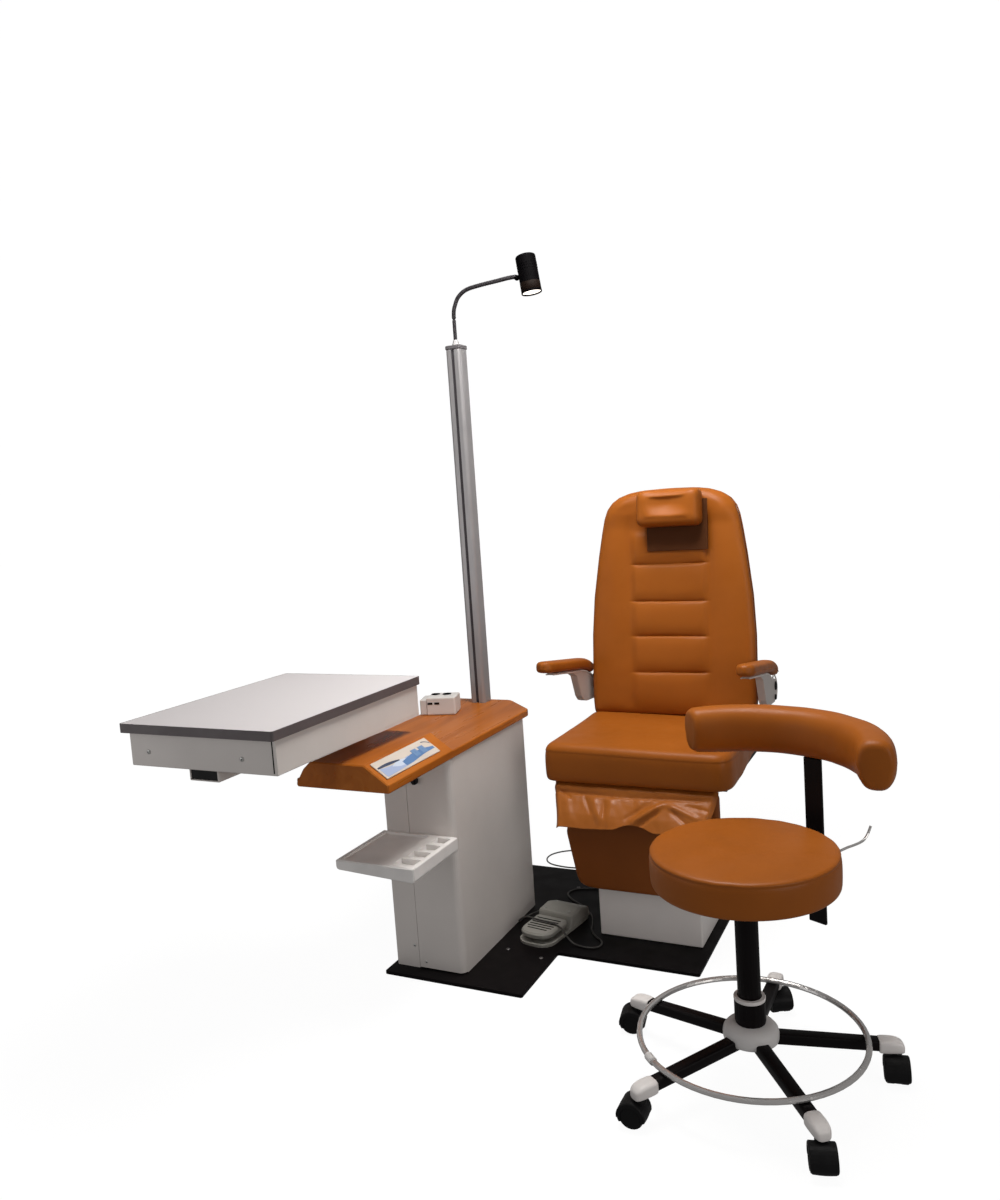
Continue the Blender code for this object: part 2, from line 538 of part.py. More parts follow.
def lift_column():
    cx, cy = CHAIR_X, LIFT_Y
    outer = finish_mesh("lift_outer", block(cx - 0.095, cx + 0.095, cy - 0.095, cy + 0.095, FLOOR, 0.330, 0.004, 1), mat="zinc")
    combine(outer, block(cx - 0.084, cx + 0.084, cy - 0.084, cy + 0.084, 0.060, 0.36))
    finish_mesh("lift_inner", block(cx - 0.082, cx + 0.082, cy - 0.082, cy + 0.082, 0.066, LIFT_TOP, 0.004, 1),
                origin=(cx, cy, 0), mat="zinc")


LEG_HINGE = (0.2935, 0.480)  # (y, z) of the leg rest's hinge, under the seat's front edge
PANEL_F, PANEL_B = 0.2995, 0.3415


def legrest():
    """Padded calf panel under the seat's front, and the loose leather that joins it to the seat."""
    side = [(0.1355, 0.163), (0.172, 0.166), (0.192, 0.176), (0.2000, 0.196), (0.2250, 0.328), (0.2200, 0.335),
            (0.2200, 0.462)]
    shape = [(CHAIR_X + u, z) for u, z in side] + [(CHAIR_X - u, z) for u, z in side[::-1]]
    panel = prism(shape, PANEL_F, PANEL_B, "Y", bevel=0.009, steps=2)
    finish_mesh("legrest_panel", panel, origin=(CHAIR_X, *LEG_HINGE), mat="leather_dark")
    # the flap hangs from the hinge and stands out over the panel: (left, right, outer y, z, inner y, z)
    rows = [(-0.2440, 0.2255, 0.2940, 0.4785, 0.2992, 0.4785), (-0.2415, 0.2255, 0.2850, 0.4600, 0.2992, 0.4560),
            (-0.2390, 0.2250, 0.2800, 0.4541, 0.2838, 0.4509), (-0.2270, 0.2225, 0.2450, 0.4130, 0.2488, 0.4098),
            (-0.2145, 0.2105, 0.2130, 0.3750, 0.2168, 0.3718)]
    skirt = [[(CHAIR_X + lo, yo, zo), (CHAIR_X + hi, yo, zo), (CHAIR_X + hi, yi, zi), (CHAIR_X + lo, yi, zi)]
             for lo, hi, yo, zo, yi, zi in rows]
    finish_mesh("legrest_flap", loft(skirt), origin=(CHAIR_X, *LEG_HINGE), mat="leather")


def seat():
    frame = finish_mesh("seat_frame", block(CHAIR_X - 0.236, CHAIR_X + 0.236, 0.350, 0.760, 0.463, SEAT_Z0 - GAP, 0.001, 1),
                        origin=(CHAIR_X, 0.54, 0), mat="black_steel")
    for side in (-1, 1):
        lug = rounded([(0.722, 0.470), (0.768, 0.470), (0.768, 0.524), (0.722, 0.524)], [0, 0, 0.018, 0.018], 3)
        a, b = sorted((side * 0.2243, side * 0.236))
        combine(frame, prism(lug, CHAIR_X + a, CHAIR_X + b, "X"), "UNION")
    for mod in frame.modifiers:
        mod.object.matrix_world = Matrix.Identity(4)
    cushion = block(CHAIR_X - SEAT_HALF, CHAIR_X + SEAT_HALF, SEAT_F, SEAT_B, SEAT_Z0, SEAT_Z1, 0.024, 3)
    finish_mesh("seat_cushion", cushion, origin=(CHAIR_X, 0.54, 0), mat="leather")


def back_place():
    return Matrix.Translation((CHAIR_X, BACK_Y, BACK_Z)) @ Matrix.Rotation(-BACK_TILT, 4, "X")


BACK_SHAPE = [(0.090, 0.244), (0.112, 0.254), (0.180, 0.2575), (0.330, 0.2565), (0.450, 0.2490), (0.580, 0.2320),
              (0.690, 0.2130), (0.730, 0.1990), (0.760, 0.1690), (0.777, 0.1280), (0.786, 0.0600)]
BACK_FRONT, BACK_REAR = -0.094, -0.010


def back():
    place = back_place()
    shape = [(-u, w) for w, u in BACK_SHAPE] + [(u, w) for w, u in BACK_SHAPE[::-1]]
    cushion = prism(shape, BACK_FRONT, BACK_REAR, "Y", bevel=0.016, steps=2)
    finish_mesh("back_cushion", cushion, mat="leather").matrix_world = place
    panel = [(-u + 0.014, w) for w, u in BACK_SHAPE[1:-1]] + [(u - 0.014, w) for w, u in BACK_SHAPE[1:-1][::-1]]
    frame = finish_mesh("back_frame", prism([(0.18, 0.004), (-0.18, 0.004)] + panel, BACK_REAR + GAP, 0.018, "Y"),
                        mat="leather_dark")
    barrel = prism(circle(0.0135, 16), -0.224, 0.224, "X")
    boss = prism(circle(0.0085, 16), -0.2745, 0.2745, "X")
    bmesh.ops.translate(boss, vec=(0, 0.0047, 0.1668), verts=boss.verts[:])
    combine(frame, barrel, "UNION")
    combine(frame, boss, "UNION")
    for mod in frame.modifiers:
        mod.object.matrix_world = place
    frame.matrix_world = place
    slide = block(-0.066, 0.124, BACK_FRONT - 0.0068, BACK_FRONT - GAP, 0.590, 0.745, 0.001, 1)
    finish_mesh("headrest_bracket", slide, mat="leather_dark").matrix_world = place
    pillow = block(-0.084, 0.113, BACK_FRONT - 0.077, BACK_FRONT - 0.0072, 0.662, 0.770, 0.020, 3)
    finish_mesh("headrest_cushion", pillow, mat="leather").matrix_world = place


def arm_line(y):
    """Height of the pad's middle at depth y: it rises to the front and drops at the rear."""
    return 0.7925 - 0.140 * (y - 0.370) - 3.0 * max(0.0, y - 0.650) ** 2


def arms():
    half, thick = 0.026, 0.017
    section = rounded([(-half, -thick), (half, -thick), (half, thick), (-half, thick)], [0.009, 0.009, 0.014, 0.014], 3)
    for name, side in (("left", -1), ("right", 1)):
        x = CHAIR_X + side * 0.2920
        stations = [0.368, 0.373, 0.388, 0.410, 0.480, 0.560, 0.650, 0.685, 0.718, 0.730, 0.734]
        sizes = [0.52, 0.78, 0.95] + [1.0] * 6 + [0.92, 0.70]
        path = [(x, y, arm_line(y)) for y in stations]
        pad = swept(path, section, up=(0, 0, 1), scales=sizes)
        pivot = (CHAIR_X + side * 0.2835, ARM_PIVOT_Y, ARM_PIVOT_Z)
        finish_mesh(f"arm_pad_{name}", pad, origin=pivot, mat="leather")
        under = [(y, arm_line(y) - thick * drop - 0.0008)
                 for y, drop in ((0.410, 1.03), (0.560, 1.03), (0.650, 1.04), (0.685, 1.08), (0.718, 1.30))]
        web = under + [(0.785, 0.688), (0.796, 0.672), (0.794, 0.650), (0.778, 0.630), (0.750, 0.624), (0.668, 0.630),
                       (0.640, 0.638), (0.622, 0.655), (0.592, arm_line(0.592) - thick - 0.020),
                       (0.560, arm_line(0.560) - thick - 0.009), (0.410, arm_line(0.410) - thick - 0.007)]
        a, b = sorted((CHAIR_X + side * 0.2750, CHAIR_X + side * 0.2980))
        finish_mesh(f"arm_bracket_{name}", prism(web, a, b, "X", bevel=0.0015), origin=pivot, mat="arm_grey")


# ---------------------------------------------------------------- stool
def stool_leg(azimuth):
    """One sloping leg and the cap on its end, over the caster."""
    half, deep = 0.014, 0.0125
    section = rounded([(-half, -deep), (half, -deep), (half, deep), (-half, deep)], 0.004, 2)
    leg = swept([(0.030, 0, 0.0930), (0.290, 0, 0.0755)], section)
    cap = block(0.264, 0.3175, -0.0185, 0.0185, 0.0598, 0.0905, 0.009, 2)
    for piece in (leg, cap):
        bmesh.ops.rotate(piece, matrix=Matrix.Rotation(math.radians(azimuth), 3, "Z"), verts=piece.verts[:])
        bmesh.ops.translate(piece, vec=(STOOL_X, STOOL_Y, 0), verts=piece.verts[:])
    return leg, cap


def star_base():
    hub = [(0, 0.074), (0.040, 0.074), (0.053, 0.080), (0.0590, 0.090), (0.0590, 0.103), (0.0560, 0.114), (0.047, 0.122),
           (0.036, 0.1262), (0, 0.1262)]
    star = finish_mesh("star_base", lathe(hub, 30, (STOOL_X, STOOL_Y, 0)), mat="black_plastic")
    for k in range(5):
        for piece in stool_leg(LEG_FIRST + 72 * k):
            combine(star, piece, "UNION")


def stool_column():
    here = (STOOL_X, STOOL_Y, 0)
    outer = [(0.0155, 0.1265), (0.0325, 0.1265), (0.0335, 0.130), (0.0335, 0.1755), (0.0275, 0.1775), (0.0265, 0.1780),
             (0.0265, 0.1860), (0.025, 0.187), (0.025, 0.400), (0.0155, 0.400)]
    finish_mesh("stool_column", lathe(outer, 24, here), mat="black_steel")
    top = STOOL_SEAT_Z0 - 0.012 - GAP
    finish_mesh("gas_rod", lathe([(0, 0.200), (0.0145, 0.200), (0.0145, top), (0, top)], 20, here),
                origin=here, mat="black_steel")


BAR_R, BAR_HALF_W, BAR_HALF_T = 0.262, 0.0225, 0.004


def stool_seat():
    here = Vector((STOOL_X, STOOL_Y, 0))
    turn = Matrix.Translation(here) @ Matrix.Rotation(math.radians(BACK_AZ), 4, "Z")
    z0, z1 = STOOL_SEAT_Z0 - 0.012, STOOL_SEAT_Z0 - GAP
    plate = finish_mesh("stool_seat_plate", lathe([(0, z0), (0.100, z0), (0.100, z1), (0, z1)], 28), mat="black_steel")
    combine(plate, block(0.040, BAR_R + 0.002, -0.024, 0.024, z0 - 0.0, z0 + 0.008), "UNION")
    combine(plate, block(BAR_R - 0.013, BAR_R + 0.013, -0.031, 0.031, z0 - 0.030, z0 + 0.0075, 0.003, 1), "UNION")
    combine(plate, block(BAR_R - BAR_HALF_T - 0.0006, BAR_R + BAR_HALF_T + 0.0006, -BAR_HALF_W - 0.0006,
                         BAR_HALF_W + 0.0006, 0.30, 0.60))
    for mod in plate.modifiers:
        mod.object.matrix_world = turn
    plate.matrix_world = turn
    r, lo, hi = STOOL_SEAT_R, STOOL_SEAT_Z0, STOOL_SEAT_Z1
    profile = [(0, lo), (r - 0.008, lo), (r - 0.002, lo + 0.004), (r, lo + 0.012), (r, hi - 0.020), (r - 0.004, hi - 0.010),
               (r - 0.014, hi - 0.004), (r - 0.040, hi), (0, hi)]
    finish_mesh("stool_seat_cushion", lathe(profile, 40, here), origin=here, mat="leather")
    bar = block(BAR_R - BAR_HALF_T, BAR_R + BAR_HALF_T, -BAR_HALF_W, BAR_HALF_W, 0.262, 0.6545 - GAP, 0.0015, 1)
    finish_mesh("back_bar", bar, mat="black_steel").matrix_world = turn
    section = rounded([(-0.040, -0.055), (0.040, -0.055), (0.040, 0.055), (-0.040, 0.055)], 0.026, 4)
    arc = []
    for k in range(21):
        a = math.radians(-66 + 129 * k / 20)
        arc.append((0.271 * math.cos(a), 0.271 * math.sin(a), 0.7100))
    sizes = [0.62, 0.90] + [1.0] * 17 + [0.90, 0.62]
    finish_mesh("back_pad", swept(arc, section, scales=sizes), mat="leather").matrix_world = turn
    lever_turn = Matrix.Translation(here) @ Matrix.Rotation(math.radians(54.0), 4, "Z")
    path = smooth_path([(0.1035, 0, 0.4190), (0.160, 0, 0.4180), (0.215, 0, 0.4220), (0.290, 0.002, 0.4400),
                        (0.350, 0, 0.4450), (0.373, 0, 0.4550), (0.386, -0.002, 0.4780)], 3)
    lever = finish_mesh("height_lever", swept(path, circle(0.003, 8)), mat="chrome")
    lever.matrix_world = lever_turn


def foot_ring():
    ring = []
    for k in range(64):
        a = 2 * math.pi * k / 64
        at = Vector((RING_R * math.cos(a), RING_R * math.sin(a), 0))
        out = at.normalized()
        ring.append([at + out * u + Vector((0, 0, v)) for u, v in circle(RING_TUBE, 10)])
    bm = loft(ring, True)
    bmesh.ops.translate(bm, vec=(STOOL_X, STOOL_Y, 0.0983), verts=bm.verts[:])
    finish_mesh("foot_ring", bm, mat="chrome")


CASTER_TURN = (280.0, 300.0, 190.0, 180.0, 285.0)


def casters():
    """Five twin-wheel casters: a hood with a middle web, and a spool of two wheels."""
    hood_r = WHEEL_R + 0.0045
    for k in range(5):
        tip = spun((LEG_REACH, 0, 0), LEG_FIRST + 72 * k) + Vector((STOOL_X, STOOL_Y, 0))
        place = Matrix.Translation(tip) @ Matrix.Rotation(math.radians(CASTER_TURN[k]), 4, "Z")
        hinge = Vector((WHEEL_TRAIL, 0, WHEEL_R))
        arc = [(WHEEL_TRAIL + hood_r * math.cos(math.radians(a)), WHEEL_R + hood_r * math.sin(math.radians(a)))
               for a in range(-8, 189, 14)]
        hood = finish_mesh(f"caster_hood_{k + 1}", prism(arc, -0.026, 0.026, "Y", bevel=0.002), mat="black_plastic")
        stem = lathe([(0, 0.046), (0.0095, 0.046), (0.0095, 0.0595), (0, 0.0595)], 14)
        combine(hood, stem, "UNION")
        for side in (-1, 1):
            wheel_room = prism(circle(WHEEL_R + 0.0014, 22), -0.012, 0.012, "Y")
            bmesh.ops.translate(wheel_room, vec=(WHEEL_TRAIL, side * 0.0165, WHEEL_R), verts=wheel_room.verts[:])
            combine(hood, wheel_room)
        bore = prism(circle(0.0048, 10), -0.02, 0.02, "Y")
        bmesh.ops.translate(bore, vec=hinge, verts=bore.verts[:])
        combine(hood, bore)
        for mod in hood.modifiers:
            mod.object.matrix_world = place
        hood.matrix_world = place
        side = [(0, 0.0245), (0.016, 0.0245), (0.0240, 0.0235), (WHEEL_R, 0.0205), (WHEEL_R, 0.0075), (0.0247, 0.0055),
                (0.004, 0.0055)]
        wheel = finish_mesh(f"caster_wheel_{k + 1}", lathe(side + [(r, -h) for r, h in side[::-1]], 24), mat="black_plastic")
        wheel.matrix_world = place @ Matrix.Translation(hinge) @ Matrix.Rotation(math.radians(90), 4, "X")


base_plate()
cabinet_shell()
cabinet_door()
door_knob()
desk_top()
keypad()
instrument_holder()
pole()
pole_cap()
gooseneck()
lamp()
table()
table_rail()
table_pivot()
instrument_tray()
power_supply()
footswitch()
footswitch_cord()
chair_base()
lift_column()
legrest()
seat()
back()
arms()
star_base()
stool_column()
stool_seat()
foot_ring()
casters()
bpy.context.view_layer.update()
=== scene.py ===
"""Looks for the ophthalmic refraction unit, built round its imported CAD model. Metres, +Z up."""
import json
from math import atan2, copysign, cos, exp, pi, radians, sin, sqrt, tan

import bmesh
import bpy
from mathutils import Matrix, Vector, noise


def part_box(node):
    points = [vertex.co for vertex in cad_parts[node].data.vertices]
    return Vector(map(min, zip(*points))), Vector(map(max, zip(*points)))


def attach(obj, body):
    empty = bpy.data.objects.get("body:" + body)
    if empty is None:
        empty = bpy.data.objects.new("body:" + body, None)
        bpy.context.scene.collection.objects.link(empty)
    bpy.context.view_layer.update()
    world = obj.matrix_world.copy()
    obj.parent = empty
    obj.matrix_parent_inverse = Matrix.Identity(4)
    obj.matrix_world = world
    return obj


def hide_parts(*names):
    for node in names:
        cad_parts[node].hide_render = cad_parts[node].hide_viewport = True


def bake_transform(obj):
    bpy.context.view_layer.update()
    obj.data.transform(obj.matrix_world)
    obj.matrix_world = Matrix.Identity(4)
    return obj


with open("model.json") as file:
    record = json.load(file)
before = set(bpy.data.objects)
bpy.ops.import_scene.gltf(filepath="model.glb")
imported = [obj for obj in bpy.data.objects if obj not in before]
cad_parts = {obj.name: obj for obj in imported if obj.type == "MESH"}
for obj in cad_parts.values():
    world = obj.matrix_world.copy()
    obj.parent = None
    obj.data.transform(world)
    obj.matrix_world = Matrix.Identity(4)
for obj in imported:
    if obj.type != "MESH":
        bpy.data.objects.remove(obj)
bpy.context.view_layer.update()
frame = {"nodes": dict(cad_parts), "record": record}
NODES = frame["nodes"]


def moved(x, y, z):
    return Matrix.Translation((x, y, z))


# ---- sizes repeated from the CAD
CHAIR_X = 0.6345
BACK_Y, BACK_Z, BACK_TILT = 0.745, 0.5, radians(7.0)
STOOL = Vector((1.0248, -0.181, 0.0))
STOOL_PLACE = Matrix.Translation(STOOL)
BACK_AZ = 64.0
LEG_AZ = [18 + 72 * k for k in range(5)]
POLE_PLACE = moved(0.015, 0.594, 0)
POLE_X, POLE_Y, _ = POLE_PLACE.translation

# ---- camera, light and stage
scene = bpy.context.scene
scene.view_settings.view_transform = "Standard"
scene.view_settings.look = "None"

CAM_AT = Vector((1.47053, -2.17897, 1.28788))
YAW, PITCH, ROLL = radians(26.1566), radians(5.9001), radians(-3.9575)
ahead = Vector((-sin(YAW) * cos(PITCH), cos(YAW) * cos(PITCH), -sin(PITCH)))
flat_right = Vector((cos(YAW), sin(YAW), 0))
flat_up = flat_right.cross(ahead)
right = flat_right * cos(ROLL) + flat_up * sin(ROLL)
upward = flat_up * cos(ROLL) - flat_right * sin(ROLL)
lens = bpy.data.cameras.new("camera")
lens.sensor_fit, lens.sensor_width, lens.lens = "HORIZONTAL", 36.0, 34.724
lens.clip_start, lens.clip_end = 0.05, 200.0


def linked(name, data):
    """A new object in the scene."""
    obj = bpy.data.objects.new(name, data)
    scene.collection.objects.link(obj)
    return obj


camera = linked("camera", lens)
turn = Matrix((right, upward, -ahead)).transposed().to_4x4()
camera.matrix_world = Matrix.Translation(CAM_AT) @ turn
scene.camera = camera


def area_light(name, at, target, size, power, colour):
    data = bpy.data.lights.new(name, "AREA")
    data.shape, data.size, data.energy, data.color = "SQUARE", size, power, colour
    light = linked(name, data)
    light.location = at
    light.rotation_euler = (Vector(target) - Vector(at)).to_track_quat("-Z", "Y").to_euler()


area_light("key", (0.66, 0.12, 2.32), (0.62, 0.14, 0.0), 0.9, 34, (1.0, 0.985, 0.955))
area_light("fill", (-1.5, -1.8, 0.9), (0.1, 0.0, 0.5), 1.3, 5.5, (0.985, 0.985, 1.0))
area_light("side", (4.6, -2.0, 1.7), (0.4, 0.1, 0.4), 2.4, 38, (1.0, 0.975, 0.95))

world = bpy.data.worlds.new("world")
scene.world = world
world.use_nodes = True
world.node_tree.nodes["Background"].inputs["Color"].default_value = (1.0, 0.985, 0.975, 1.0)
world.node_tree.nodes["Background"].inputs["Strength"].default_value = 0.22


# ---- shader helpers
class Shader:
    """A node material that is put together a step at a time, in metres of the row frame."""

    def __init__(self, name, base, rough, metal=0.0, spec=0.5, coat=0.0, coat_rough=0.1):
        self.mat = bpy.data.materials.new(name)
        self.mat.use_nodes = True
        self.tree = self.mat.node_tree
        self.bsdf = self.tree.nodes["Principled BSDF"]
        self.put(self.bsdf, {"Base Color": (*base, 1.0), "Roughness": rough, "Metallic": metal,
                             "Specular IOR Level": spec, "Coat Weight": coat, "Coat Roughness": coat_rough})
        self.base, self.rough = base, rough
        self.coords = self.node("ShaderNodeTexCoord").outputs["Object"]
        self.normal = None

    def node(self, kind, **values):
        made = self.tree.nodes.new(kind)
        for key, value in values.items():
            setattr(made, key, value)
        return made

    def put(self, node, numbers):
        for key, value in numbers.items():
            node.inputs[key].default_value = value

    def link(self, a, b):
        self.tree.links.new(a, b)

    def stretched(self, scale):
        if scale == (1, 1, 1):
            return self.coords
        mapping = self.node("ShaderNodeMapping")
        self.put(mapping, {"Scale": scale})
        self.link(self.coords, mapping.inputs["Vector"])
        return mapping.outputs["Vector"]

    def noise(self, scale, detail=3.0, stretch=(1, 1, 1), distortion=0.0):
        tex = self.node("ShaderNodeTexNoise")
        self.put(tex, {"Scale": scale, "Detail": detail, "Distortion": distortion})
        self.link(self.stretched(stretch), tex.inputs["Vector"])
        return tex.outputs["Fac"]

    def cells(self, scale, feature="F1"):
        tex = self.node("ShaderNodeTexVoronoi", feature=feature)
        self.put(tex, {"Scale": scale})
        self.link(self.coords, tex.inputs["Vector"])
        return tex.outputs["Distance"]

    def span(self, value, lo, hi, low=0.3, high=0.7):
        made = self.node("ShaderNodeMapRange")
        self.put(made, {"From Min": low, "From Max": high, "To Min": lo, "To Max": hi})
        self.link(value, made.inputs["Value"])
        return made.outputs["Result"]

    def tint(self, value, stops):
        """Base colour from a ramp over (position, colour) stops."""
        made = self.node("ShaderNodeValToRGB")
        items = made.color_ramp.elements
        while len(items) < len(stops):
            items.new(0.5)
        for item, (at, colour) in zip(items, stops):
            item.position = at
            item.color = (*colour, 1.0)
        self.link(value, made.inputs["Fac"])
        self.link(made.outputs["Color"], self.bsdf.inputs["Base Color"])

    def vary(self, scale, amount, detail=3.0):
        """Lighter and darker patches of the base colour."""
        dark = tuple(c * (1 - amount) for c in self.base)
        light = tuple(min(1.0, c * (1 + amount)) for c in self.base)
        self.tint(self.noise(scale, detail), [(0.3, dark), (0.7, light)])

    def rough_vary(self, scale, amount, stretch=(1, 1, 1)):
        value = self.span(self.noise(scale, stretch=stretch), self.rough - amount, self.rough + amount)
        self.link(value, self.bsdf.inputs["Roughness"])

    def bump(self, value, height, strength=1.0):
        made = self.node("ShaderNodeBump")
        self.put(made, {"Distance": height, "Strength": strength})
        self.link(value, made.inputs["Height"])
        if self.normal is not None:
            self.link(self.normal, made.inputs["Normal"])
        self.normal = made.outputs["Normal"]
        self.link(self.normal, self.bsdf.inputs["Normal"])


def leather(name, base, rough=0.42, crease=0.0006, spec=0.17):
    s = Shader(name, base, rough, spec=spec, coat=0.03, coat_rough=0.3)
    full = (base[0] * 1.07, base[1] * 1.1, base[2] * 1.18)
    s.tint(s.noise(5.0, 4.0), [(0.28, tuple(c * 0.9 for c in base)), (0.5, base), (0.74, full)])
    s.rough_vary(24, 0.06)
    s.bump(s.noise(11.0, 2.0), crease)  # slack in the hide
    s.bump(s.cells(620.0, feature="SMOOTH_F1"), 0.00012, 0.55)  # pebble grain
    s.bump(s.noise(260.0, 4.0), 0.0001, 0.5)
    return s.mat


def enamel(name, base, rough, dirt=0.06, coat=0.1, spec=0.35):
    s = Shader(name, base, rough, spec=spec, coat=coat, coat_rough=0.18)
    s.vary(3.5, dirt, 5.0)
    s.rough_vary(18, 0.06)
    s.bump(s.noise(420.0, 2.0), 0.00006, 0.35)  # orange peel
    return s.mat


def moulded(name, base, rough, spec=0.35, grain=700.0):
    s = Shader(name, base, rough, spec=spec)
    s.vary(9.0, 0.08)
    s.rough_vary(40, 0.07)
    s.bump(s.noise(grain, 2.0), 0.00005, 0.4)
    return s.mat


def made_metal(name, base, rough, along=(1, 1, 1), metal=1.0):
    s = Shader(name, base, rough, metal=metal)
    s.vary(6.0, 0.07)
    s.rough_vary(60, 0.07, along)
    s.bump(s.noise(500, 2.0, along), 0.00004, 0.4)  # brushing
    return s.mat


LEATHERS = {  # base colour, roughness, depth of slack, specular
    "leather": ((0.332, 0.091, 0.0092),),
    "leather_thin": ((0.362, 0.108, 0.015), 0.4, 0.0012, 0.24),
    "leather_dark": ((0.262, 0.07, 0.0092), 0.5),
    "leather_shadow": ((0.095, 0.031, 0.009), 0.62, 0.0006, 0.12),
}
ENAMELS = {  # base colour, roughness, dirt, coat, specular
    "black_steel": ((0.0058, 0.0042, 0.0046), 0.42, 0.25, 0.0, 0.11),
    "white_paint": ((0.7, 0.655, 0.625), 0.4),
    "base_paint": ((0.9, 0.85, 0.82), 0.4),
    "arm_grey": ((0.52, 0.475, 0.445), 0.4),
    "arm_edge": ((0.74, 0.7, 0.67), 0.38),
    "hub_grey": ((0.74, 0.72, 0.71), 0.42),
    "ferrule": ((0.42, 0.41, 0.41), 0.42),
    "plate_black": ((0.0036, 0.0024, 0.0028), 0.45, 0.25, 0.0, 0.08),
    "lamp_black": ((0.0014, 0.0011, 0.0014), 0.55, 0.15, 0.0, 0.02),
}
MOULDINGS = {  # base colour, roughness, specular, grain
    "cap_light": ((0.86, 0.82, 0.8), 0.42),
    "white_plastic": ((0.86, 0.835, 0.815), 0.36),
    "holder_white": ((0.66, 0.63, 0.61), 0.4),
    "grey_plastic": ((0.3, 0.29, 0.262), 0.5),
    "black_plastic": ((0.007, 0.0068, 0.0072), 0.45, 0.16),
    "rubber": ((0.009, 0.0088, 0.009), 0.75, 0.14, 300.0),
    "dark_grey": ((0.118, 0.1, 0.103), 0.42),
    "cable": ((0.06, 0.058, 0.054), 0.5),
    "key_white": ((0.15, 0.26, 0.45), 0.35),
    "key_blue": ((0.1, 0.2, 0.4), 0.34),
    "label_pale": ((0.36, 0.43, 0.62), 0.34),
    # painted highlight: the pale glint of light on the keypad label
    "label_glint": ((0.56, 0.62, 0.74), 0.34),
    "label_ink": ((0.045, 0.06, 0.11), 0.4),
    "keypad": ((0.62, 0.54, 0.47), 0.34),
    "neck_grey": ((0.031, 0.028, 0.031), 0.55, 0.18),
    "pole_cap": ((0.12, 0.112, 0.118), 0.5, 0.2),
    # painted glow: a warm brown base colour standing in for the lamp's light seen through its shade
    "lamp_warm": ((0.0062, 0.0034, 0.0024), 0.55, 0.04),
    "groove": ((0.05, 0.045, 0.05), 0.6, 0.1),
}
METALS = {  # base colour, roughness, stretch of the brushing, metallic
    "aluminium": ((0.375, 0.362, 0.37), 0.42, (1, 1, 0.02), 0.45),
    "zinc": ((0.58, 0.58, 0.56), 0.38, (1, 1, 0.1)),
    "chrome": ((0.74, 0.72, 0.71), 0.18, (1, 1, 1), 0.7),
    "screw": ((0.16, 0.15, 0.15), 0.5),
}


def wood_material():
    s = Shader("varnished_veneer", (0.4, 0.11, 0.014), 0.3, spec=0.14, coat=0.1, coat_rough=0.12)
    grain = s.noise(16.0, 6.0, (1.0, 0.1, 1.0), 0.6)
    s.tint(grain, [(0.25, (0.29, 0.074, 0.008)), (0.48, (0.41, 0.114, 0.013)), (0.72, (0.5, 0.155, 0.023))])
    s.rough_vary(30, 0.05, (1, 0.1, 1))
    s.bump(s.noise(120.0, 4.0, (1.0, 0.06, 1.0)), 0.00008, 0.35)
    return s.mat


def laminate_material():
    s = Shader("white_laminate", (0.745, 0.705, 0.715), 0.42, spec=0.3, coat=0.08, coat_rough=0.25)
    s.vary(1.6, 0.02, 5.0)
    s.bump(s.noise(900.0, 2.0), 0.00003, 0.3)
    return s.mat


def lens_material():
    s = Shader("lit_lens", (1.0, 0.93, 0.85), 0.25)
    s.put(s.bsdf, {"Emission Color": (1.0, 0.9, 0.8, 1.0), "Emission Strength": 2.6})
    s.bump(s.cells(500.0), 0.0003, 0.5)
    return s.mat


M = {"wood_orange": wood_material(), "laminate": laminate_material(), "lens": lens_material()}
for make, table in ((leather, LEATHERS), (enamel, ENAMELS), (moulded, MOULDINGS), (made_metal, METALS)):
    for key, values in table.items():
        M[key] = make(key, *values)


# ---- mesh helpers
def mesh_of(name, bm):
    mesh = bpy.data.meshes.new(name)
    bm.to_mesh(mesh)
    bm.free()
    return mesh


def own(name, bm, mats, body, smooth=40, levels=0):
    """Finish a bmesh in the row frame as a piece that rides on a body."""
    bmesh.ops.remove_doubles(bm, verts=bm.verts[:], dist=1e-6)
    bmesh.ops.recalc_face_normals(bm, faces=bm.faces[:])
    mesh = mesh_of(name, bm)
    mesh.shade_smooth()
    mesh.set_sharp_from_angle(angle=radians(smooth))
    obj = linked(name, mesh)
    for key in [mats] if isinstance(mats, str) else mats:
        mesh.materials.append(M[key])
    if levels:
        sub = obj.modifiers.new("subdivision", "SUBSURF")
        sub.levels = sub.render_levels = levels
    if body:
        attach(obj, body)
    return obj


def skin(bm, rings, closed=True, caps=False):
    """Join rings of points into quads."""
    made = [[bm.verts.new(p) for p in ring] for ring in rings]
    count = len(made[0])
    for low, high in zip(made, made[1:]):
        for k in range(count if closed else count - 1):
            n = (k + 1) % count
            bm.faces.new((low[k], low[n], high[n], high[k]))
    for ring in (made[0], made[-1]) if caps else ():
        centre = bm.verts.new(sum((v.co for v in ring), Vector()) / count)
        for k in range(count):
            bm.faces.new((ring[k], ring[(k + 1) % count], centre))


def circle(count, radius=1.0):
    """Points evenly round a circle."""
    angles = [2 * pi * k / count for k in range(count)]
    return [(radius * cos(a), radius * sin(a)) for a in angles]


def frames_along(points, up):
    """A right and an up vector at each point of a path."""
    out = []
    last = len(points) - 1
    for i, p in enumerate(points):
        ahead_here = (points[min(i + 1, last)] - points[max(i - 1, 0)]).normalized()
        side = ahead_here.cross(up).normalized()
        out.append((p, side, side.cross(ahead_here).normalized()))
    return out


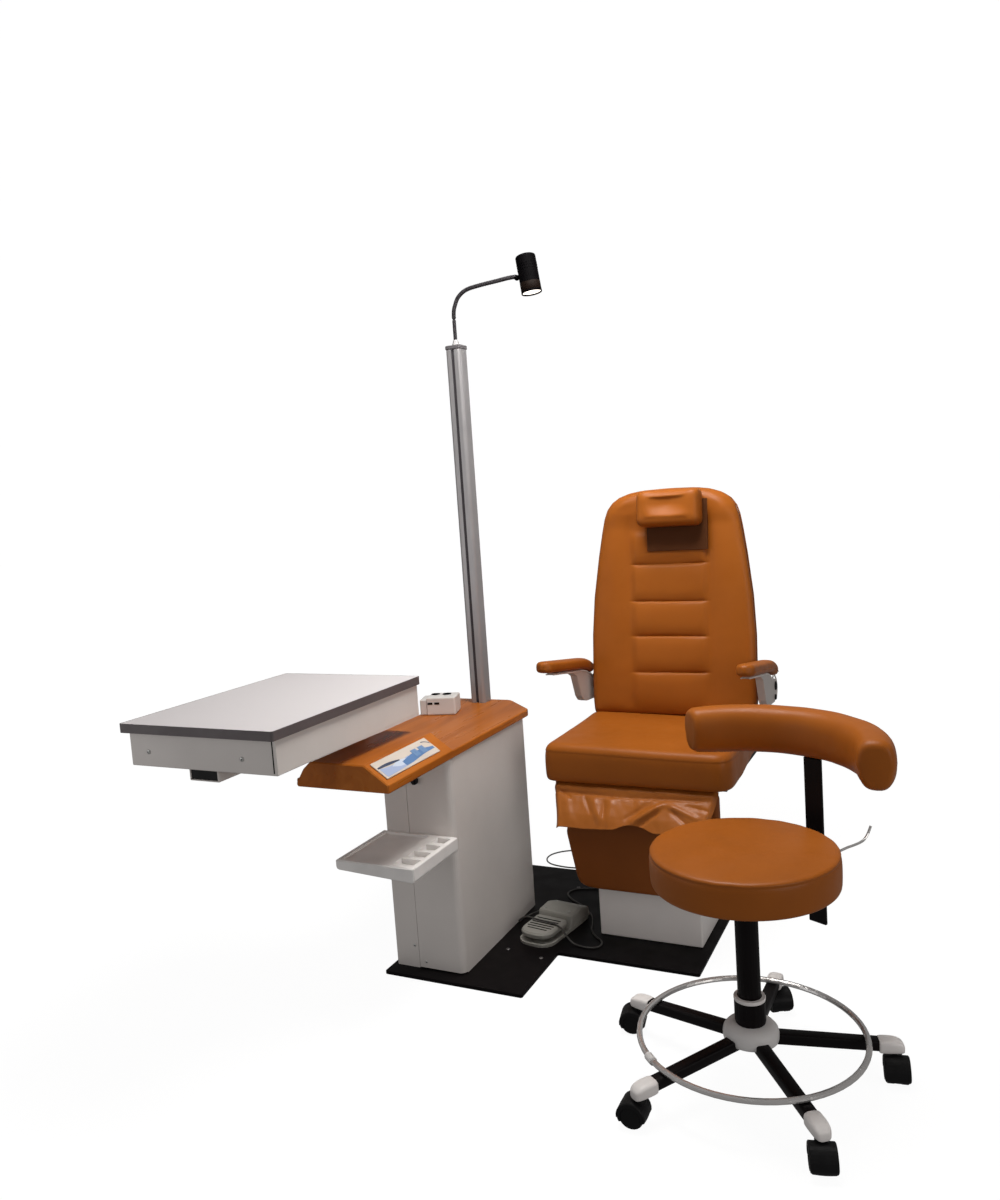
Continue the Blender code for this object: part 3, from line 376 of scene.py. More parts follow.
def tube(bm, points, radius, sides=8, up=Vector((0, 0, 1)), closed=False):
    """A round bar along points; `radius` is a number or a function of the share of the length."""
    points = [Vector(p) for p in points]
    if closed:
        frames = frames_along(points + points[:2], up)[1:-1]
        frames = frames + frames[:1]
    else:
        frames = frames_along(points, up)
    rings = []
    for i, (p, a, b) in enumerate(frames):
        r = radius(i / (len(frames) - 1)) if callable(radius) else radius
        rings.append([p + a * u + b * v for u, v in circle(sides, r)])
    skin(bm, rings, caps=not closed)


def turned(bm, profile, sides, place):
    """Lathe (radius, height) points about the local Z of `place`."""
    skin(bm, [[place @ Vector((x, y, height)) for x, y in circle(sides, max(radius, 1e-5))]
              for radius, height in profile])


def lathe(name, profile, sides, places, mat, body, smooth=40):
    """A piece turned about the local Z of one place, or of each place in a list."""
    bm = bmesh.new()
    for place in places if isinstance(places, list) else [places]:
        turned(bm, profile, sides, place)
    return own(name, bm, mat, body, smooth)


def swept(name, rings, mat, body, smooth=40, levels=0):
    """A capped skin over rings, as a piece of its own."""
    bm = bmesh.new()
    skin(bm, rings, caps=True)
    return own(name, bm, mat, body, smooth, levels)


def ball(radius, steps, share=1.0):
    """Lathe profile of a sphere from its lower pole, or of a share of it."""
    angles = [pi * k / steps for k in range(round(steps * share) + 1)]
    return [(radius * sin(a), -radius * cos(a)) for a in angles]


def box(bm, lo, hi, place=Matrix(), index=0, bevel=0.0):
    made = bmesh.ops.create_cube(bm, size=1.0)["verts"]
    for v in made:
        v.co = Vector([(l + h) / 2 + c * (h - l) for c, l, h in zip(v.co, lo, hi)])
    for face in {f for v in made for f in v.link_faces}:
        face.material_index = index
    if bevel:
        edges = {e for v in made for e in v.link_edges}
        done = bmesh.ops.bevel(bm, geom=list(edges), offset=bevel, segments=2, profile=0.6, affect="EDGES")
        made = list({v for f in done["faces"] for v in f.verts} | {v for v in made if v.is_valid})
    for v in made:
        v.co = place @ v.co


def about(axis, degrees):
    return Matrix.Rotation(radians(degrees), 4, axis)


def facing(at, normal):
    """A place whose local Z is a normal."""
    return Matrix.Translation(at) @ Vector(normal).to_track_quat("Z", "Y").to_matrix().to_4x4()


def screw(name, at, normal, r, body, mat="zinc"):
    """Pan head with a cross recess."""
    bm = bmesh.new()
    place = facing(at, normal)
    top = r * 0.42
    head = [(0, top), (r * 0.45, top * 0.97), (r * 0.8, top * 0.72), (r, top * 0.25), (r, 0), (0, 0)]
    turned(bm, head, 16, place)
    for angle in (0, 90):
        spin = place @ about("Z", angle + 20)
        box(bm, (-r * 0.5, -r * 0.09, top * 0.85), (r * 0.5, r * 0.09, top * 1.04), spin, 1)
    own(name, bm, [mat, "black_plastic"], body)


def ease(a, b, x):
    """A smooth step from 0 at a to 1 at b."""
    t = min(1.0, max(0.0, (x - a) / (b - a)))
    return t * t * (3 - 2 * t)


def ridge(x, width):
    return exp(-(x / width) ** 2)


def unevenness(x, y, z):
    return noise.noise(Vector((x, y, z)))


def between_rows(table, x):
    """The numbers that go with x, from rows that each start with their own x."""
    for (x0, *low), (x1, *high) in zip(table, table[1:]):
        if x <= x1:
            break
    t = min(1.0, (x - x0) / (x1 - x0))
    return [a + (b - a) * t for a, b in zip(low, high)]


def beside(point, a, b):
    """How far along the line from a to b a point is, as a share, and its distance from the line."""
    t = (point - a).dot(b - a) / (b - a).length_squared
    return t, (point - a - (b - a) * min(1.0, max(0.0, t))).length


def resample(loop, count):
    """Evenly spaced points round a closed polygon."""
    pts = [Vector(p) for p in loop]
    lengths = [(pts[(i + 1) % len(pts)] - p).length for i, p in enumerate(pts)]
    total = sum(lengths)
    out = []
    for k in range(count):
        want = total * k / count
        i = 0
        while want > lengths[i]:
            want -= lengths[i]
            i += 1
        out.append(pts[i].lerp(pts[(i + 1) % len(pts)], want / lengths[i]))
    return out


def corner_round(points, radii, steps=6):
    """The polygon with each corner turned into a short curve."""
    out = []
    for i, radius in enumerate(radii):
        here, before, after = [Vector(points[k % len(points)]) for k in (i, i - 1, i + 1)]
        a, b = (before - here).normalized(), (after - here).normalized()
        reach = radius / tan(a.angle(b) / 2)
        start, end = here + a * reach, here + b * reach
        for k in range(steps + 1):
            t = k / steps
            out.append(start * (1 - t) ** 2 + here * (2 * t * (1 - t)) + end * t ** 2)
    return out


def rectangle(x0, x1, y0, y1):
    return [(x0, y0), (x1, y0), (x1, y1), (x0, y1)]


def catmull(points, steps):
    """A smooth line through the points."""
    pts = [Vector(p) for p in points]
    out = []
    for i in range(len(pts) - 1):
        a, b, c, d = pts[max(i - 1, 0)], pts[i], pts[i + 1], pts[min(i + 2, len(pts) - 1)]
        square, cube = 2 * a - 5 * b + 4 * c - d, 3 * b - a - 3 * c + d
        for k in range(steps):
            t = k / steps
            out.append(0.5 * (2 * b + (c - a) * t + square * t * t + cube * t ** 3))
    return out + [pts[-1]]


def cushion(name, loop, profile, place, shape, body, mat="leather", inner=9):
    """A closed upholstered form. `loop` is its outline in local X, Y. `profile` is (inset, height) from
    the lower face's rim to the upper face's rim. `shape(x, y, z, up)` returns a moved point; up says how
    far the point is towards the upper face's middle, and is negative on the lower face."""
    centre = sum((Vector(p) for p in loop), Vector((0, 0))) / len(loop)
    hx = max(abs(p[0] - centre[0]) for p in loop)
    hy = max(abs(p[1] - centre[1]) for p in loop)

    def ring(rim, scale, up):
        inset, height = rim
        kx, ky = (1 - inset / hx) * scale, (1 - inset / hy) * scale
        flat = [(centre[0] + (p[0] - centre[0]) * kx, centre[1] + (p[1] - centre[1]) * ky) for p in loop]
        return [place @ Vector(shape(x, y, height, up)) for x, y in flat]

    rings = [ring(profile[0], k / 4, -k / 3) for k in (1, 2, 3)]
    rings += [ring(rim, 1.0, 0.0) for rim in profile]
    for k in range(1, inner + 1):
        rings.append(ring(profile[-1], 1 - k / (inner + 1), k / (inner + 1)))
    made = swept(name, rings, mat, body, 60, 1)
    return made


def welt(name, points, body, radius, mat="leather", up=Vector((0, 0, 1)), closed=False):
    """A raised cord along a seam."""
    bm = bmesh.new()
    tube(bm, points, radius, 6, up, closed)
    own(name, bm, mat, body)


# ---- materials on the CAD pieces that stay
for part in frame["record"]["subparts"]:
    for slot in NODES[part["node"]].material_slots:
        slot.material = M[part["material_slot"]]
FINER = {"headrest_bracket": "leather_shadow", "instrument_holder": "holder_white",
         "chair_base": "base_paint", "pole_cap": "pole_cap", "base_plate": "plate_black"}
FINER.update({f"caster_wheel_{k}": "rubber" for k in range(1, 6)})
for node, key in FINER.items():
    NODES[node].material_slots[0].material = M[key]

# ---- chair: seat
SEAT_HALF, SEAT_FRONT, SEAT_REAR = 0.2675, 0.27, 0.715
seat_loop = resample(corner_round(rectangle(-SEAT_HALF, SEAT_HALF, SEAT_FRONT, SEAT_REAR),
                                  [0.018, 0.052, 0.034, 0.034]), 120)


def seat_shape(x, y, z, up):
    # the filling stands higher on the left and at the rear, and draws in behind the right corner
    high = ease(0.515, 0.566, z)
    z += high * (0.0068 * ease(0.16, -0.26, x) + 0.003 * ease(0.5, 0.7, y))
    x -= ease(0.05, 0.26, x) * (0.0035 + 0.0145 * min(1.0, max(0.0, (y - 0.44) / 0.2)))
    if up > 0:
        soft = ease(0.0, 0.55, up)
        z += 0.0036 * soft
        z += 0.0022 * soft * unevenness(x * 7, y * 7, 2.0)
        # slack creases across the rear, where the back meets the seat
        line = y - 0.655 + 0.01 * sin(x * 16 + 0.6)
        z -= 0.004 * ridge(line, 0.005) * ease(0.16, 0.07, abs(x)) * soft
        line = y - 0.625 - 0.012 * sin(x * 11)
        z -= 0.0012 * ridge(line, 0.008) * ease(0.15, 0.05, abs(x + 0.02)) * soft
    else:
        wave = 0.0012 * unevenness(x * 16, y * 16, z * 10)
        x += wave if x > 0 else -wave
        y += wave if y > 0.49 else -wave
    return x, y, z


seat_profile = [
    (0.03, 0.4815), (0.016, 0.4812), (0.0085, 0.4826), (0.004, 0.486), (0.0016, 0.4925), (0.0006, 0.505),
    (0.0004, 0.525), (0.0006, 0.544), (0.0016, 0.556), (0.0028, 0.561), (0.0026, 0.5632), (0.0024, 0.566),
    (0.005, 0.573), (0.01, 0.5795), (0.017, 0.5832), (0.026, 0.5848)]
seat_place = moved(CHAIR_X, 0, 0)
seat = cushion("seat_pad", seat_loop, seat_profile, seat_place, seat_shape, "seat", inner=14)
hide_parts("seat_cushion")

# ---- chair: back
# (height up the back, half width)
BACK_HALF = [(0.09, 0.25), (0.1, 0.2535), (0.125, 0.2565), (0.18, 0.2575), (0.33, 0.2565), (0.45, 0.249),
             (0.58, 0.232), (0.66, 0.219), (0.7, 0.211), (0.728, 0.201), (0.75, 0.1845), (0.766, 0.161),
             (0.7775, 0.128), (0.784, 0.085), (0.7865, 0.0)]
BACK_REAR, BACK_FRONT = 0.01, 0.094  # depth in front of the hinge's plane
EDGE_ROLL = 0.0275  # depth of the rounded front edge
lean, rise = sin(BACK_TILT), cos(BACK_TILT)
BACK_PLACE = Matrix(((1, 0, 0, CHAIR_X), (0, lean, -rise, BACK_Y), (0, rise, lean, BACK_Z), (0, 0, 0, 1)))
CHANNELS = [0.102, 0.213, 0.3255, 0.434, 0.549, 0.65]
PANEL_HALF = 0.12


def half_at(w):
    return between_rows(BACK_HALF, w)[0]


back_edge = [Vector((-u, w)) for w, u in BACK_HALF] + [Vector((u, w)) for w, u in BACK_HALF[-2::-1]]


def edge_distance(x, y):
    sides = zip(back_edge, back_edge[1:] + back_edge[:1])
    return min(beside(Vector((x, y)), a, b)[1] for a, b in sides)


def rolled(d, radius):
    """Drop of a rounded edge at distance d inside it."""
    if d >= radius:
        return 0.0
    return radius - sqrt(max(0.0, radius * radius - (radius - d) ** 2))


def back_front(u, w):
    d = edge_distance(u, w)
    h = BACK_FRONT - 0.0075 - rolled(d, 0.02)
    a = abs(u)
    inside = ease(0.0, 0.035, d)
    # side bolsters, fuller at shoulder height
    full = 0.0055 + 0.003 * ease(0.45, 0.62, w)
    mid = PANEL_HALF + (half_at(min(w, 0.74)) - PANEL_HALF) * 0.46
    h += full * inside * exp(-((a - mid) / 0.047) ** 2)
    h += 0.0065 * inside * ease(0.66, 0.72, w)
    # crease along the panel
    crease = (0.0014 + 0.0034 * ease(0.42, 0.62, w)) * ease(0.14, 0.24, w) * ease(0.72, 0.66, w)
    h -= crease * ridge(a - PANEL_HALF - 0.004, 0.0085)
    # sewn channels
    across = ease(PANEL_HALF + 0.004, PANEL_HALF - 0.018, a)
    reach = ease(PANEL_HALF + 0.004, PANEL_HALF - 0.022, a)
    for low, high in zip(CHANNELS, CHANNELS[1:]):
        if low <= w <= high:
            t = (w - low) / (high - low)
            h += 0.008 * across * max(0.0, 1 - abs(2 * t - 1.06) ** 3.0)
    for k, seam in enumerate(CHANNELS[1:-1]):
        droop = 0.0016 * sin(u * 21 + k * 1.7)
        h -= 0.0036 * reach * ridge(w - seam - droop, 0.003)
    h += 0.0012 * unevenness(u * 9, w * 9, 5.0) * inside
    h += 0.0005 * unevenness(u * 38, w * 38, 9.0) * inside
    return h


def build_back():
    rows = [0.0902, 0.092, 0.0955, 0.1]
    w = 0.106
    while w < 0.77:
        rows.append(w)
        near = min(abs(w - s) for s in CHANNELS[1:-1])
        w += 0.0018 if near < 0.006 else 0.0035 if near < 0.014 else 0.0075
    rows += [0.77, 0.7745, 0.778, 0.7805, 0.7825, 0.7843, 0.7855]
    columns = [-1.0, -0.995, -0.985, -0.965, -0.935, -0.9]
    columns += [-0.86 + 1.72 * k / 46 for k in range(47)] + [0.9, 0.935, 0.965, 0.985, 0.995, 1.0]
    side = BACK_FRONT - EDGE_ROLL
    rings = []
    for w in rows:
        half = half_at(w)
        ring = [Vector((c * half, w, back_front(c * half, w))) for c in columns]
        ring += [Vector((half, w, side - (side - BACK_REAR) * t)) for t in (0.25, 0.5, 0.75)]
        for c in (1.0, 0.96, 0.5, 0.0, -0.5, -0.96, -1.0):
            ring.append(Vector((c * half, w, BACK_REAR + (0.004 if abs(c) == 1.0 else 0.0004))))
        ring += [Vector((-half, w, side - (side - BACK_REAR) * t)) for t in (0.75, 0.5, 0.25)]
        low = 0.0125 * ease(0.14, 0.09, w)  # the foot of the cushion lies along the seat
        for p in ring:
            deep = (p.z - BACK_REAR) / (BACK_FRONT - BACK_REAR)
            p.y -= low * deep
            if abs(p.x) > 0.9 * half:
                p.x -= copysign(0.01 * (1 - ease(0.0, 0.75, deep)), p.x)
            p.x = p.x * 1.008 - 0.0022
        rings.append([BACK_PLACE @ p for p in ring])
    back = swept("back_pad_main", rings, "leather", "back", 60)
    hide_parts("back_cushion")


build_back()

piping = [BACK_PLACE @ Vector((u * 0.962, w, 0.0098)) for u, w in resample(back_edge, 150)]
welt("back_piping", piping, "back", 0.0022, "leather_dark", Vector((0, -1, 0)), True)


# ---- chair: head rest
HEAD_U, HEAD_HALF = 0.0145, 0.0985  # the head rest sits a little to one side


def head_shape(x, y, z, up):
    if up > 0:
        v = (y - 0.716) / 0.054
        u = (x - HEAD_U) / HEAD_HALF
        bowl = max(0.0, 1 - (u / 0.7) ** 2) * ease(-0.62, 0.25, v)
        z += (0.006 - 0.0175 * bowl ** 0.8) * ease(0.0, 0.3, up)
        z += 0.0012 * unevenness(x * 30, y * 30, 1.0)
    elif y > 0.74:
        dent = max(0.0, 1 - ((x - HEAD_U) / 0.066) ** 2)
        z -= 0.01 * dent * ease(0.74, 0.77, y) * ease(0.13, 0.17, z)
    return x, y, z


head_outline = rectangle(HEAD_U - HEAD_HALF, HEAD_U + HEAD_HALF, 0.662, 0.774)
head_loop = resample(corner_round(head_outline, [0.02, 0.02, 0.018, 0.018]), 72)
head_profile = [(0.012, 0.1014), (0.004, 0.103), (0.0012, 0.108), (0.0, 0.12), (0.0, 0.138), (0.0012, 0.15),
                (0.005, 0.1605), (0.012, 0.1665), (0.02, 0.1685)]
head = cushion("headrest_pad", head_loop, head_profile, BACK_PLACE, head_shape, "headrest", inner=8)
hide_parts("headrest_cushion")


# ---- chair: arm rests
ARM_OUT, ARM_FRONT, ARM_REAR = 0.292, 0.361, 0.7335
ARM_HALF, ARM_THICK = 0.026, 0.0172
BRACKET_FACES = (0.2752, 0.2978)  # of the bracket's inner and outer face, from the chair's middle


def arm_line(y):
    """Height of the pad's middle."""
    return 0.7925 - 0.14 * (y - 0.37) - 3.0 * max(0.0, y - 0.65) ** 2


def round_section(half, thick, power=3.2, sides=28):
    """A rounded rectangle, squarer as the power rises."""
    return [(half * copysign(abs(c) ** (2 / power), c), thick * copysign(abs(d) ** (2 / power), d))
            for c, d in circle(sides)]


def blunt(distance, radius, least):
    """Share of the full size at a distance from a rounded end."""
    return sqrt(max(0.0, 1 - (1 - min(1.0, distance / radius)) ** 2)) * (1 - least) + least


def arm_pad(label, x):
    rings = []
    steps = 40
    for k in range(steps + 1):
        y = ARM_FRONT + (ARM_REAR - ARM_FRONT) * k / steps
        grow, tail = blunt(y - ARM_FRONT, 0.024, 0.22), blunt(ARM_REAR - y, 0.014, 0.35)
        slope = atan2(arm_line(y + 0.002) - arm_line(y - 0.002), 0.004)
        ring = []
        half, thick = ARM_HALF * grow * (0.35 + 0.65 * tail), ARM_THICK * (0.45 + 0.55 * grow) * tail
        for a, b in round_section(half, thick):
            high = b + (0.0012 * cos(a / ARM_HALF * 1.4) if b > 0 else 0.0)
            ring.append(Vector((x + a, y - high * sin(slope), arm_line(y) + high * cos(slope))))
        rings.append(ring)
    pad = swept(f"arm_pad_{label}_cover", rings, "leather", f"arm_{label}", 70, 1)
    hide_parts(f"arm_pad_{label}")


def arm_rim(label, side):
    """Pale rolled edge along the bracket's top and rear, on both of its faces."""
    edge = [(y, arm_line(y) - ARM_THICK - 0.0052 - 0.004 * ease(0.64, 0.72, y))
            for y in (0.405, 0.44, 0.48, 0.52, 0.56, 0.6, 0.64, 0.67, 0.7, 0.725)]
    edge += [(0.752, 0.7085), (0.775, 0.6975), (0.789, 0.684), (0.7945, 0.669), (0.7925, 0.65),
             (0.779, 0.632)]
    bm = bmesh.new()
    for away in BRACKET_FACES:
        line = catmull([(CHAIR_X + side * away, y, z) for y, z in edge], 4)
        tube(bm, line, 0.0023, 8, Vector((1, 0, 0)))
    own(f"arm_rim_{label}", bm, "arm_edge", f"arm_{label}", smooth=60)


for label, side in (("left", -1), ("right", 1)):
    x = CHAIR_X + side * ARM_OUT
    arm_pad(label, x)
    line = [0.385 + 0.335 * k / 24 for k in range(25)]
    line = [(x + side * (ARM_HALF + 0.0003), y, arm_line(y) - 0.0045) for y in line]
    welt(f"arm_welt_{label}", line, f"arm_{label}", 0.0011)
    arm_rim(label, side)
    # pivot covers on the bracket's outer face
    for k, (y, z, r) in enumerate(((0.77, 0.671, 0.0135), (0.76, 0.638, 0.0085))):
        place = facing((CHAIR_X + side * 0.298, y, z), (side, 0, 0))
        profile = [(0, 0.0048), (r * 0.7, 0.0046), (r * 0.93, 0.0034), (r, 0.0015), (r, -0.0002),
                   (0, -0.0002)]
        lathe(f"arm_cover_{label}_{k + 1}", profile, 24, place, "black_plastic", f"arm_{label}")

# ---- chair: leg rest and its loose flap
UPRIGHT = Matrix(((1, 0, 0, CHAIR_X), (0, 0, -1, 0), (0, 1, 0, 0), (0, 0, 0, 1)))
# (half width, height) up the panel's side
LEG_SIDE = [(0.1355, 0.163), (0.172, 0.166), (0.192, 0.176), (0.2, 0.196), (0.225, 0.328), (0.22, 0.34),
            (0.22, 0.462)]
leg_loop = resample(LEG_SIDE + [(-u, z) for u, z in LEG_SIDE[::-1]], 110)


def leg_shape(x, y, z, up):
    if up > 0:
        z += 0.0022 * ease(0.0, 0.5, up) + 0.001 * unevenness(x * 8, y * 8, 3.0)
    return x, y, z


leg_profile = [(0.012, -0.3412), (0.004, -0.34), (0.001, -0.335), (0.0, -0.326), (0.0, -0.315),
               (0.0012, -0.3075), (0.0045, -0.3025), (0.01, -0.3005), (0.016, -0.3)]
panel = cushion("legrest_pad", leg_loop, leg_profile, UPRIGHT, leg_shape, "legrest", "leather_dark", 8)
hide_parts("legrest_panel")

FLAP_LEFT, FLAP_RIGHT, FLAP_DROP = CHAIR_X - 0.244, CHAIR_X + 0.2255, 0.146
FLAP_SPAN = 0.47
# (distance, y, z) down the flap
FLAP_LINE = [(0.0, 0.302, 0.4822), (0.01, 0.2935, 0.48), (0.022, 0.2835, 0.472), (0.04, 0.2715, 0.459),
             (0.07, 0.251, 0.437), (0.105, 0.229, 0.41), (0.15, 0.204, 0.372)]


def flap_fold(u, d, a, b, width):
    """A fold that runs from a to b in (share of the width, distance down), strongest in its middle."""
    a, b, here = [Vector((share * FLAP_SPAN, down)) for share, down in (a, b, (u, d))]
    t, off = beside(here, a, b)
    return ridge(off, width) * ease(-0.25, 0.25, t) * ease(1.25, 0.75, t)


# from, to, width, how far it stands out
FLAP_FOLDS = [
    ((0.0, 0.041), (0.42, 0.047), 0.005, -0.005), ((0.42, 0.047), (0.95, 0.04), 0.0055, -0.004),
    ((0.52, 0.118), (0.7, 0.06), 0.0075, 0.009), ((0.56, 0.126), (0.68, 0.082), 0.005, -0.005),
    ((0.47, 0.108), (0.62, 0.058), 0.006, -0.004), ((0.26, 0.056), (0.3, 0.125), 0.012, 0.0045),
    ((0.38, 0.06), (0.36, 0.13), 0.013, 0.004), ((0.33, 0.062), (0.325, 0.11), 0.006, -0.0034),
    ((0.2, 0.052), (0.24, 0.1), 0.006, -0.003), ((0.03, 0.034), (0.11, 0.058), 0.005, -0.0036),
    ((0.72, 0.06), (0.92, 0.092), 0.008, 0.006), ((0.76, 0.078), (0.9, 0.12), 0.006, -0.004),
    ((0.84, 0.058), (0.99, 0.07), 0.005, -0.003), ((0.08, 0.06), (0.1, 0.128), 0.014, 0.0028),
]


def flap_hem(u):
    """Length of the flap at a share of its width."""
    return FLAP_DROP - 0.004 * ease(0.0, 0.45, u) - 0.017 * ease(0.38, 0.5, u) \
        + 0.016 * ease(0.55, 0.68, u) - 0.012 * ease(0.72, 0.95, u)


def flap_out(u, d):
    """How far the flap stands out from its line."""
    out = 0.004 * exp(-((d - 0.027) / 0.0085) ** 2)  # rolled top
    out += 0.002 * unevenness(u * 11, d * 15, 1.3)
    out += 0.001 * unevenness(u * 28, d * 42, 4.1)
    for a, b, width, height in FLAP_FOLDS:
        out += height * flap_fold(u, d, a, b, width)
    out += 0.003 * sin(u * 17 + 0.6) * ease(0.08, 0.15, d)
    edge = min(u, 1 - u) * FLAP_SPAN
    out -= 0.012 * (1 - ease(0.0, 0.016, edge)) ** 2
    return out * ease(0.0, 0.014, d)


def build_flap():
    across, down = 170, 54
    grid = []
    for r in range(down + 1):
        t = r / down
        left = FLAP_LEFT + 0.03 * ease(0.0, 1.0, t)
        right = FLAP_RIGHT - 0.016 * ease(0.1, 1.0, t)
        row = []
        for u in [k / across for k in range(across + 1)]:
            d = flap_hem(u) * t
            y, z = between_rows(FLAP_LINE, d)
            out = flap_out(u, d)
            row.append(Vector((left + (right - left) * u, y - out * 0.76, z + out * 0.65)))
        grid.append(row)
    bm = bmesh.new()
    skin(bm, grid, closed=False)
    for _ in range(2):
        bmesh.ops.smooth_vert(bm, verts=bm.verts[:], factor=0.35,
                              use_axis_x=True, use_axis_y=True, use_axis_z=True)
    made = own("legrest_cover_flap", bm, "leather_thin", None, smooth=80)
    thick = made.modifiers.new("thickness", "SOLIDIFY")
    thick.thickness, thick.offset = 0.0016, 0.0
    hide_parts("legrest_flap")
    return made


flap = build_flap()
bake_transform(flap)

# ---- chair: foot cover's lid
LID_PROFILE = [(0.0002, 0.1885), (0.0018, 0.1885), (0.002, 0.19), (0.002, 0.204), (0.001, 0.2056),
               (-0.003, 0.2062), (-0.012, 0.2062), (-0.012, 0.2053)]  # (how far out, height)
lid = []
for off, z in LID_PROFILE:
    outline = corner_round(rectangle(0.484 - off, 0.785 + off, 0.345 - off, 0.7 + off), [0.005] * 4, 3)
    lid.append([Vector((x, y, z)) for x, y in outline])
bm = bmesh.new()
skin(bm, lid + lid[:1])
own("chair_base_lid", bm, "base_paint", "stand", smooth=50)

# ---- stool
SEAT_R, BACK_R, BACK_HEIGHT, RING_R = 0.1996, 0.271, 0.71, 0.241


def stool_shape(x, y, z, up):
    a = atan2(y, x)
    if up > 0:
        z += 0.0026 * ease(0.0, 0.4, up) + 0.0012 * unevenness(x * 9, y * 9, 6.0)
    elif z > 0.505:
        c, s = cos(a), sin(a)
        z += 0.001 * unevenness(c * 6, s * 6, 8.0)
        z += 0.0005 * sin(a * 31) * unevenness(c * 3, s * 3, 2.0)
    return x, y, z


stool_profile = [
    (0.016, 0.4384), (0.007, 0.4392), (0.0022, 0.4425), (0.0004, 0.449), (0.0, 0.462), (-0.0006, 0.48),
    (0.0, 0.498), (0.001, 0.504), (0.0024, 0.5062), (0.0022, 0.508), (0.001, 0.5105), (0.003, 0.514),
    (0.007, 0.5162), (0.014, 0.5172)]
stool_top = cushion("stool_seat_pad", circle(120, SEAT_R), stool_profile, STOOL_PLACE, stool_shape,
                    "stool_seat")
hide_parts("stool_seat_cushion")


def build_stool_back():
    turn_to = STOOL_PLACE @ about("Z", BACK_AZ)
    first, last, steps = radians(-66), radians(63), 78  # sweep to each side of the middle
    rings = []
    stops = [0.009 + 0.982 * k / steps for k in range(steps + 1)]
    for t in [0.0, 0.0018, 0.0045] + stops + [0.9955, 0.9982, 1.0]:
        a = first + (last - first) * t
        near = min(t, 1 - t) * (last - first) * BACK_R
        grow = blunt(near, 0.017, 0.7)
        slim = 1.0 - 0.16 * ease(0.06, 0.0, near)  # the ends are slimmer low down
        out = Vector((cos(a), sin(a), 0))
        middle = out * BACK_R + Vector((0, 0, BACK_HEIGHT))
        ring = []
        for u, v in round_section(0.04 * grow, 0.055 * grow, 2.7, 36):
            swell = 1 + 0.018 * unevenness(a * 5, v * 22, u * 22)
            narrow = slim if v < 0 else 1.0 - 0.4 * (1.0 - slim)
            rise = Vector((0, 0, v * swell * (0.5 + 0.5 * narrow)))
            ring.append(turn_to @ (middle + out * (u * swell * narrow) + rise))
        rings.append(ring)
    pad = swept("stool_back_cushion", rings, "leather", "stool_back", 70)
    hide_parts("back_pad")


build_stool_back()


# (distance out, half width, underside, top) of the light cap on each leg
CAP = [(0.264, 0.015, 0.063, 0.0888), (0.2652, 0.0172, 0.0612, 0.0902), (0.27, 0.0182, 0.0603, 0.091),
       (0.285, 0.0186, 0.06, 0.0908), (0.3, 0.0184, 0.06, 0.089), (0.309, 0.017, 0.06, 0.0858),
       (0.315, 0.0142, 0.0602, 0.0812), (0.3176, 0.01, 0.061, 0.076)]


def build_star():
    """Grey hub, black legs and light caps, in place of the one CAD star."""
    hub = [(0, 0.084), (0.04, 0.084), (0.053, 0.0855), (0.0585, 0.089), (0.06, 0.095), (0.06, 0.104),
           (0.058, 0.113), (0.052, 0.12), (0.044, 0.124), (0.035, 0.1258), (0, 0.1262)]
    piece = lathe("stool_hub", hub, 48, STOOL_PLACE, "hub_grey", "stool_base", smooth=50)
    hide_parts("star_base")
    for k, azimuth in enumerate(LEG_AZ):
        arm = STOOL_PLACE @ about("Z", azimuth)
        rings = []
        for t in [i / 8 for i in range(9)]:
            r = 0.04 + (0.288 - 0.04) * t
            z = 0.093 - (r - 0.03) / 0.26 * 0.0175
            section = round_section(0.015 - 0.0012 * t, 0.0128 - 0.0006 * t, 5.0, 20)
            rings.append([arm @ Vector((r, a, z + b)) for a, b in section])
        swept(f"stool_leg_{k + 1}", rings, "black_steel", "stool_base")
        rings = []
        for r, half, low, high in CAP:
            section = round_section(half, (high - low) / 2, 3.6, 24)
            rings.append([arm @ Vector((r, a, (low + high) / 2 + b)) for a, b in section])
        swept(f"stool_leg_cap_{k + 1}", rings, "cap_light", "stool_base", smooth=60, levels=1)


build_star()
collar = [(0.03, 0.1772), (0.0336, 0.1776), (0.0342, 0.1795), (0.0342, 0.1835), (0.0335, 0.1852),
          (0.0255, 0.1856)]
lathe("stool_collar", collar, 40, STOOL_PLACE, "cap_light", "stool_base")
joint = []
for turn_by in (-0.05, -0.025, 0, 0.025, 0.05):
    a = radians(223) + turn_by
    joint.append(STOOL + Vector((RING_R * cos(a), RING_R * sin(a), 0.0983)))
bm = bmesh.new()
tube(bm, joint, 0.009, 14)
own("ring_joint_sleeve", bm, "hub_grey", "stool_base")

# twin-wheel casters: rounded hoods over the wheels
CASTER_TURN = (280.0, 300.0, 190.0, 180.0, 285.0)
CASTER_OUT, WHEEL_R, TRAIL = 0.3, 0.0265, 0.016
